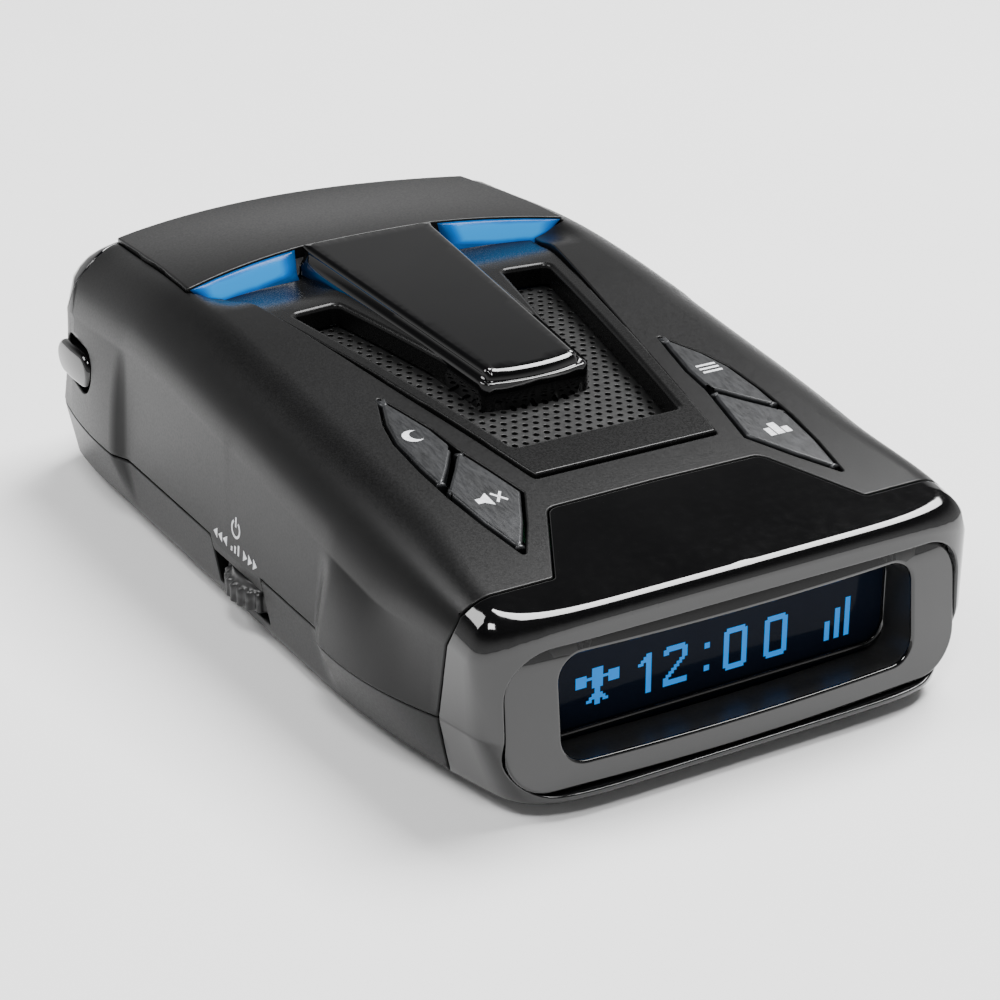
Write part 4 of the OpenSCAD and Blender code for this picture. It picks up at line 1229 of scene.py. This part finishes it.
def front_cap():
    """Badge plate, left blank, with a thick rear edge that hangs over the alert lenses."""
    rear = [(x, cap_rear(x)) for x in (9.5, 13, 16.5, 20, 23)]
    half = [(0.0, CAP_MID[1])] + rear + [CAP_REAR, CAP_FRONT]
    arc = SEAM_HALF[SEAM_HALF[:, 0] < CAP_FRONT[0] - 0.5][::-1]
    half = rounded(np.array(half + list(arc)), [0.01] * 6 + [0.3, 0.4] + [0.01] * len(arc), 4, closed=False)
    loop = np.concatenate([half, mirrored(half)[1:-1]])
    loop = inset(dense(loop, 1.3), OFF)
    bm = weld([patch([loop], at_height(cap_z))])
    add_lips(bm, LIP, 1.25)
    return build("front_cap_plate", bm, "matt_case", replaces=["front_cap"])


def alert_lens(sign, name, node):
    """Lit wedge under the cap's rear edge, its face a softly domed strip with a skirt below whose glow the material
    keeps near black as painted shade.

    The vertex layer depth says how far a point is from the face's edges; the material darkens the glow there as
    painted shade.
    """
    top = [(x, cap_rear(x) + 0.02, float(cap_z(x, cap_rear(x))) - 0.3)
           for x in (26.2, 24.5, 22, 19, 16, 13, 10.2)]
    low = [(25.0, 24.2, 31.1), (21.9, 24.4, 29.75), (16.5, 25.4, 30.0), (10.8, 26.5, 30.6)]
    cols, rows = 28, 12
    s = np.linspace(0, 1, cols)

    def along(points, q):
        p = np.array(points)
        d = np.concatenate([[0], np.cumsum(np.linalg.norm(np.diff(p, axis=0), axis=1))])
        return np.stack([np.interp(q * d[-1], d, p[:, i]) for i in range(3)], -1)
    upper, lower = along(top, s), along(low, s)
    bm = bmesh.new()
    lens_edge_shade = bm.verts.layers.float.new("depth")
    front, back = [], []
    for j in range(rows):
        k = max(0, j - 1) / (rows - 2)
        for i in range(cols):
            p = mix(lower[i], upper[i], k)
            if j == 0:
                p = p + [0, -0.9, -0.9]
            edge = min(k, 1 - k) * 2.4, min(s[i], 1 - s[i]) * 7.0
            dome = 0.35 * (1 - (1 - min(1, edge[0])) ** 2) * (1 - (1 - min(1, edge[1])) ** 2)
            v = bm.verts.new((sign * p[0], p[1] - dome, p[2] + dome * 0.35))
            # Painted shade: a small value darkens the glow near the face's edges, on the skirt and towards the outer
            # tip.
            v[lens_edge_shade] = max(0.0, min(edge[0] + 0.06, edge[1] * 0.5 + 0.02))
            if s[i] > 0.86:
                v[lens_edge_shade] *= max(0.0, (1 - s[i]) / 0.14)
            front.append(v)
            back.append(bm.verts.new((sign * p[0], p[1] + 1.3, p[2] - 0.6)))
    for j in range(rows - 1):
        for i in range(cols - 1):
            a = j * cols + i
            quad = [a, a + 1, a + cols + 1, a + cols]
            if sign > 0:
                quad = quad[::-1]
            bm.faces.new([front[q] for q in quad])
            bm.faces.new([back[q] for q in quad[::-1]])
    border = ([j * cols for j in range(rows)], [j * cols + cols - 1 for j in range(rows)],
              list(range(cols)), list(range((rows - 1) * cols, rows * cols)))
    for line in border:
        for a, b in zip(line[:-1], line[1:]):
            bm.faces.new((front[a], front[b], back[b], back[a]))
    bmesh.ops.recalc_face_normals(bm, faces=bm.faces)
    return build(name, bm, "blue_lens", replaces=[node])


# ---------------------------------------------------------------- keys
KEY_GAP = 0.34
KEY_LIP = 0.38


def key_cap(name, sign, outline_points, body, node):
    """One key top, level with the arch; sign -1 is the left side."""
    loop = rounded(np.array(outline_points), [0.3] + [0.6] * (len(outline_points) - 1), 4)
    loop = dense(loop, 0.9)
    if area(loop) < 0:
        loop = loop[::-1]
    loop = inset(loop, KEY_GAP + KEY_LIP)
    if sign < 0:
        loop = mirrored(loop)
    bm = weld([patch([loop], at_height(lambda x, y: arch_z(y) - 0.02), 1.0, 1.0)])
    add_lips(bm, KEY_LIP, 1.3, steps=2)
    return build(name, bm, "key_metal", body=body, replaces=[node])


FRONT_KEY = [(18.8, -9.6), (21.3, -15.8), (22.25, -20.0), (22.45, -26.0), (22.2, -31.2), (19.2, -27.3), (16.5, -23.4),
             (16.8, -18.8), (17.95, -13.2)]
REAR_KEY = [(22.2, -31.2), (21.6, -38.1), (20.4, -44.9), (17.2, -39.8), (14.3, -34.4), (15.25, -29.4),
            (16.5, -23.4), (19.2, -27.3)]


# ---------------------------------------------------------------- printed icons
def circle(cx, cy, r, n=24, start=0.0, end=360.0):
    t = np.radians(np.linspace(start, end, n, endpoint=abs(end - start) < 360))
    return np.column_stack([cx + r * np.cos(t), cy + r * np.sin(t)])


def box2(x0, y0, x1, y1):
    return np.array([(x0, y0), (x1, y0), (x1, y1), (x0, y1)], float)


def crescent(r=1.25):
    outer = circle(0, 0, r, 20, 50, 310)
    inner = circle(0.62, 0, r * 0.82, 18, 290, 70)
    return [np.concatenate([outer, inner[1:-1]])]


def muted():
    return [np.array([(-1.5, -0.45), (-0.8, -0.45), (0.1, -1.2), (0.1, 1.2), (-0.8, 0.45), (-1.5, 0.45)]),
            np.array([(0.5, -0.75), (0.7, -0.95), (1.9, 0.75), (1.7, 0.95)]),
            np.array([(0.5, 0.75), (0.7, 0.95), (1.9, -0.75), (1.7, -0.95)])[::-1]]


def bars():
    return [box2(-1.3, y - 0.17, 1.3, y + 0.17) for y in (-0.8, 0.0, 0.8)]


def buildings():
    return [box2(-1.5, -1.2, -0.75, 0.4), box2(-0.55, -1.2, 0.4, 1.2), box2(0.6, -1.2, 1.4, 0.0)]


def icon(name, loops, place, body, turn=0.0, thick=0.05):
    """Prints flat shapes on a surface: place maps plane points onto it."""
    c, s = math.cos(turn), math.sin(turn)
    parts = []
    for p in loops:
        p = p if area(p) > 0 else p[::-1]
        q = dense(p, 0.5)
        q = q @ np.array([[c, s], [-s, c]])
        parts.append(patch([q], place, 0.5, 0.5))
    bm = weld(parts, 1e-4)
    add_lips(bm, 0.015, thick, steps=1)
    obj = build(name, bm, "key_metal" if body != "case" else "matt_case", body=body, weighted=False)
    obj.data.materials[0] = WHITE
    return obj


def on_key(cx, cy):
    return lambda p: np.column_stack([p[:, 0] + cx, p[:, 1] + cy, arch_z(p[:, 1] + cy) + 0.01])


def on_left_wall(cy, cz):
    """Icons on the left wall, seen from outside: plane x runs towards the rear."""
    def place(p):
        u, v = side_uv(cy - p[:, 0], cz + p[:, 1])
        q = skin(-u, v)
        q[:, 0] -= 0.03
        return q
    return place


# ---------------------------------------------------------------- side controls
WHEEL_X, WHEEL_Y = -27.3, -2.5
WHEEL_RIBS = 30
RIB_HEIGHT = 0.42


def volume_wheel():
    """Ribbed band below, smooth disc above, on its pin."""
    t = full_turn(WHEEL_RIBS * 10)
    rib = np.clip(np.cos(WHEEL_RIBS * t) * 1.6, -1, 1)
    bore = 1.06
    # Radius, height, and how much of the ribs shows there.
    profile = [(bore, 3.78, 0), (6.5, 3.78, 0), (6.75, 3.85, 0.6), (6.95, 4.1, 1), (6.95, 6.1, 1), (6.7, 6.35, 0.6),
               (6.45, 6.45, 0), (6.4, 6.95, 0), (6.2, 7.15, 0), (bore, 7.15, 0)]
    bm = bmesh.new()
    rings = []
    for r, z, w in profile:
        rr = r + RIB_HEIGHT * w * (rib * 0.5 + 0.5)
        rings.append([bm.verts.new((WHEEL_X + a * math.cos(b), WHEEL_Y + a * math.sin(b), z))
                      for a, b in zip(rr, t)])
    join_rings(bm, rings + rings[:1])
    return build("volume_wheel_ribbed", bm, "wheel_plastic", body="thumb_wheel", replaces=["volume_wheel"],
                 weighted=False)


def release_button():
    """Glossy domed pill in the left wall."""
    t = full_turn(40)
    c, s = np.cos(t), np.sin(t)
    lip = 0.75
    r = RELEASE_R - lip
    ends = np.sign(np.round(c, 6)) * RELEASE_FLAT
    loop = np.column_stack([-(RELEASE_Y + c * r + ends), RELEASE_Z + s * r])[::-1]
    loop = loop if area(loop) > 0 else loop[::-1]

    def lift(p):
        d = ((p[:, 0] + RELEASE_Y) / 5.2) ** 2 + ((p[:, 1] - RELEASE_Z) / 2.6) ** 2
        return np.column_stack([-34.75 + 0.3 * d, -p[:, 0], p[:, 1]])
    bm = weld([patch([loop], lift, 0.6, 0.6)])
    add_lips(bm, lip, 2.2, steps=5)
    return build("release_button_pill", bm, "gloss_black", body="release", replaces=["release_button"])


# ---------------------------------------------------------------- sockets and feet
def close_tube(bm, rings):
    """Walls between rings and a face over each end."""
    join_rings(bm, rings)
    bm.faces.new(rings[0][::-1])
    bm.faces.new(rings[-1])
    bmesh.ops.recalc_face_normals(bm, faces=bm.faces)


def socket_pin():
    """Centre pin of the DC socket, turned from (radius, x) pairs."""
    bm = bmesh.new()
    rings = [[bm.verts.new((x, JACK_Y + r * math.cos(a), JACK_Z + r * math.sin(a))) for a in full_turn(24)]
             for r, x in [(0.66, 23.6), (0.66, 30.2), (0.6, 30.6), (0.42, 30.9), (0.16, 31.0)]]
    close_tube(bm, rings)
    return build("dc_jack_pin", bm, "pin_steel")


def coil_spring(node, start, length, radius, wire, turns, mover):
    """Return spring along X, with its left end at mover and its right end at the case; mover is passed on but not
    used, so the spring keeps its place and does not stretch.
    """
    t = np.linspace(0, 1, 14 * turns + 1)
    a = 2 * math.pi * turns * t
    path = np.column_stack([start[0] + wire + t * (length - 2 * wire), start[1] + radius * np.cos(a),
                            start[2] + radius * np.sin(a)])
    bm = bmesh.new()
    rings = []
    for p, d in zip(path, np.gradient(path, axis=0)):
        across = Vector(d).cross(Vector((1, 0, 0))).normalized()
        up = Vector(d).cross(across).normalized()
        rings.append([bm.verts.new(Vector(p) + wire * (math.cos(b) * across + math.sin(b) * up))
                      for b in full_turn(6)])
    close_tube(bm, rings)
    y, z = start[1] * MM, start[2] * MM
    ends = (start[0] * MM, y, z), ((start[0] + length) * MM, y, z)
    return build(node + "_coil", bm, "pin_steel", replaces=[node], bend=(mover, "case", *ends))


def slab(bm, x0, x1, y0, y1, z0, z1, bevel):
    """A block with bevelled edges."""
    made = bmesh.ops.create_cube(bm, size=1.0)["verts"]
    for v in made:
        v.co = Vector((mix(x0, x1, v.co.x + 0.5), mix(y0, y1, v.co.y + 0.5), mix(z0, z1, v.co.z + 0.5)))
    edges = list({e for v in made for e in v.link_edges})
    bmesh.ops.bevel(bm, geom=edges, offset=bevel, segments=2, affect="EDGES")


def usb_insert():
    """Tongue with contacts on a dark back plate, inside the USB shell."""
    bm = bmesh.new()
    slab(bm, 25.2, 27.0, -2.9, 3.9, 12.65, 14.7, 0.1)
    slab(bm, 26.8, 31.2, -2.1, 3.1, 13.35, 14.05, 0.15)
    dark = len(bm.faces)
    for i in range(5):
        y = 0.5 + (i - 2) * 0.95
        slab(bm, 28.0, 31.1, y - 0.2, y + 0.2, 13.27, 13.4, 0.03)
    bm.faces.ensure_lookup_table()
    for f in bm.faces[dark:]:
        f.material_index = 1
    obj = build("usb_tongue", bm, "socket_black")
    obj.data.materials.append(MATERIALS["pin_steel"])
    return obj


FEET = ((23.0, 42.0, 30.6, 49.4), (15.0, -44.8, 22.4, -37.4))     # the right-hand pads: x0, y0, x1, y1
FOOT_LIP = 0.45


def rubber_feet():
    """Four pads with rolled edges."""
    parts = []
    for x0, y0, x1, y1 in FEET:
        for sign in (-1, 1):
            a, b = sorted((sign * x0, sign * x1))
            loop = dense(inset(rounded(box2(a, y0, b, y1), 1.6, 6), FOOT_LIP), 1.2)
            parts.append(patch([loop], at_height(lambda x, y: np.full(len(x), 0.0)), 2, 2, flip=True))
    bm = weld(parts)
    add_lips(bm, FOOT_LIP, 1.3)
    return build("rubber_feet_pads", bm, "foot_rubber", replaces=["rubber_feet"])


# ---------------------------------------------------------------- display glyphs
PIXEL = 0.335
GLYPH_Y = GLASS_Y - 0.03
GLYPH_THICK = 0.025
GLYPH_SHIFT = (-0.7, 0.65)      # makes up for the distance between panel and glass


def ring_glyph(w, h):
    """A rounded zero of w by h pixels with strokes two pixels wide."""
    rows = []
    for j in range(h):
        row_ = ""
        for i in range(w):
            corner = (i in (0, w - 1)) and (j in (0, h - 1))
            border = i < 2 or i >= w - 2 or j < 2 or j >= h - 2
            row_ += "#" if border and not corner else "."
        rows.append(row_)
    return rows


ZERO = ring_glyph(9, 15)
ONE = ["...##", "..###", ".####", "##.##"] + ["...##"] * 10
TWO = [".#######.", "#########", "##.....##", ".......##", ".......##", "......##.", ".....##..", "....##...",
       "...##....", "..##.....", ".##......", "##.......", "#########", "#########"]
DOT = ["##", "##"]
SIGNAL = ["........##", "........##", "........##", "....##..##", "....##..##", "....##..##", "....##..##",
          "##..##..##", "##..##..##", "##..##..##", "##..##..##", "##..##..##", "##..##..##", "##..##..##"]
SATELLITE = ["......####......", "......####......", "####..####..####", "################", "####..####..####",
             "####..####..####", "......####......", ".......##.......", ".......##.......", "......####......",
             ".....######.....", "....##.##.##....", ".......##......."]
# Each glyph with the x of its left edge and the z of its top.
DISPLAY = [(SATELLITE, -17.0, 11.9), (ONE, -9.3, 11.8), (TWO, -6.1, 11.9), (DOT, -0.9, 11.05), (DOT, -0.9, 8.35),
           (ZERO, 1.6, 12.0), (ZERO, 6.9, 12.0), (SIGNAL, 15.0, 11.7)]


def display_glyphs():
    """Lit pixels just in front of the glass, where the panel's image is seen from the usual side."""
    bm = bmesh.new()
    r = PIXEL * 0.5
    for rows, left, top in DISPLAY:
        for j, line in enumerate(rows):
            for i, mark in enumerate(line):
                if mark != "#":
                    continue
                x = left + GLYPH_SHIFT[0] + (i + 0.5) * PIXEL
                z = top + GLYPH_SHIFT[1] - (j + 0.5) * PIXEL
                quad = [tuple(bm.verts.new((x + dx, y, z + dz)) for y in (GLYPH_Y, GLYPH_Y + GLYPH_THICK))
                        for dx, dz in ((-r, -r), (r, -r), (r, r), (-r, r))]
                bm.faces.new([q[0] for q in quad])
                bm.faces.new([q[1] for q in reversed(quad)])
                for a, b in zip(quad, quad[1:] + quad[:1]):
                    bm.faces.new((a[0], a[1], b[1], b[0]))
    bmesh.ops.recalc_face_normals(bm, faces=bm.faces)
    return build("display_image", bm, "display_glow", smooth=False)


# ---------------------------------------------------------------- carried-over nodes
def dress_nodes():
    """Every CAD node left in view gets the finish of its material slot."""
    slots = {part["node"]: part["material_slot"] for part in frame["record"]["subparts"]}
    for name, obj in frame["nodes"].items():
        for s in obj.material_slots:
            # The window's image gives the light; the panel behind it would shine out through the seams.
            s.material = MATERIALS["socket_black" if name == "oled_display" else slots[name]]


def make_keys():
    """Four key tops with their pictograms, and the print beside the volume wheel."""
    for sign, side_keys in ((1, ("settings", "city_mode")), (-1, ("night_mode", "mute"))):
        for outline_points, what in zip((FRONT_KEY, REAR_KEY), side_keys):
            key_cap(f"key_{what}_top", sign, outline_points, f"key_{what}_cap", f"key_{what}")
    marks = {"night_mode": (crescent(), -19.6, -19.6), "mute": (muted(), -18.6, -34.4),
             "settings": (bars(), 19.6, -19.6), "city_mode": (buildings(), 18.6, -34.4)}
    for what, (loops, x, y) in marks.items():
        icon(f"key_{what}_icon", loops, on_key(x, y), f"key_{what}_cap")
    power = [np.concatenate([circle(0, 0, 1.15, 22, 125, 415), circle(0, 0, 0.88, 22, 415, 125)]),
             box2(-0.13, 0.25, 0.13, 1.45)]
    icon("wheel_mark_power", power, on_left_wall(WHEEL_Y, 13.0), "case")
    beside = on_left_wall(WHEEL_Y, 10.6)
    for side, what in ((-1, "less"), (1, "more")):
        heads = [np.array([(side * (a + 0.95), 0.0), (side * a, 0.62), (side * a, -0.62)]) for a in (2.2, 3.5, 4.8)]
        icon(f"wheel_mark_{what}", heads, beside, "case")
    level = [box2(a - 0.17, -0.6, a + 0.17, h) for a, h in ((-0.9, -0.1), (0.0, 0.25), (0.9, 0.65))]
    icon("wheel_mark_level", level, beside, "case")


def make_object():
    coil_spring("wheel_spring", (-18.9, 0.5, 8.1), 3.4, 0.65, 0.15, 5, "wheel_slider")
    coil_spring("release_spring", (-28.7, RELEASE_Y, 16.6), 6.0, 1.2, 0.2, 5, "release")
    upper_shell()
    lower_shell()
    display_hood()
    display_bezel()
    display_frame()
    front_window()
    front_cap()
    grille_frame()
    speaker_mesh()
    spine_cover()
    alert_lens(1, "alert_lens_right_wedge", "alert_lens_right")
    alert_lens(-1, "alert_lens_left_wedge", "alert_lens_left")
    make_keys()
    volume_wheel()
    release_button()
    display_glyphs()
    socket_pin()
    usb_insert()
    rubber_feet()
    dress_nodes()


make_object()

# ---------------------------------------------------------------- floor, light, camera
def plain_floor():
    """Pale paper that reaches past the picture on all sides."""
    bm = bmesh.new()
    bmesh.ops.create_grid(bm, x_segments=24, y_segments=24, size=3.0)
    mesh = bpy.data.meshes.new("floor")
    bm.to_mesh(mesh)
    bm.free()
    obj = add_object("floor", mesh)
    m, t, b = nodes_of("floor_paper")
    cloudy = ranged(t, noise(t, 12, 2.0), 0, 1)
    link(t, tinted(t, cloudy, (0.86, 0.86, 0.86), (0.89, 0.89, 0.89)), b.inputs["Base Color"])
    link(t, ranged(t, noise(t, 600, 2.0), 0.6, 0.75), b.inputs["Roughness"])
    mesh.materials.append(m)


# Name, place, side of the square and watts.
LIGHTS = (("main", (0.5, 0.12, 0.9), 0.55, 28.0),
          ("left_high", (-0.5, 0.28, 0.75), 0.36, 5.0),
          ("rear_left", (-0.22, -0.38, 0.9), 0.22, 5.0))
LIGHT_TARGET = Vector((0, 0, 0.01))


def area_light(name, place, size, power):
    data = bpy.data.lights.new(name, "AREA")
    data.shape = "RECTANGLE"
    data.size = data.size_y = size
    data.energy = power
    obj = add_object(name, data)
    obj.location = place
    obj.rotation_euler = (LIGHT_TARGET - Vector(place)).to_track_quat("-Z", "Y").to_euler()


def sky():
    """Bright near the horizon and dark overhead, so that the top's reflections stay dark."""
    world = bpy.data.worlds.new("studio")
    world.use_nodes = True
    t = world.node_tree
    back = t.nodes["Background"]
    coords = t.nodes.new("ShaderNodeTexCoord")
    split = t.nodes.new("ShaderNodeSeparateXYZ")
    link(t, coords.outputs["Generated"], split.inputs[0])
    ramp = t.nodes.new("ShaderNodeValToRGB")
    stops = ramp.color_ramp.elements
    stops[0].position, stops[0].color = 0.0, (0.9, 0.9, 0.9, 1)
    stops[1].position, stops[1].color = 0.95, (0.03, 0.03, 0.03, 1)
    for place, grey in ((0.22, 0.75), (0.42, 0.42), (0.56, 0.1), (0.7, 0.02)):
        stops.new(place).color = (grey, grey, grey, 1)
    link(t, split.outputs["Z"], ramp.inputs["Fac"])
    link(t, ramp.outputs["Color"], back.inputs["Color"])
    back.inputs["Strength"].default_value = 1.0
    bpy.context.scene.world = world


CAMERA_PLACE = (-0.14326, -0.24913, 0.14175)
CAMERA_TURN = (math.radians(65), 0.0, math.radians(-30.401))
CAMERA_LENS, CAMERA_SENSOR = 93.56, 36


def camera():
    data = bpy.data.cameras.new("camera")
    data.lens = CAMERA_LENS
    data.sensor_width = CAMERA_SENSOR
    obj = add_object("camera", data)
    obj.location = CAMERA_PLACE
    obj.rotation_euler = CAMERA_TURN
    bpy.context.scene.camera = obj


plain_floor()
sky()
camera()
for light in LIGHTS:
    area_light(*light)
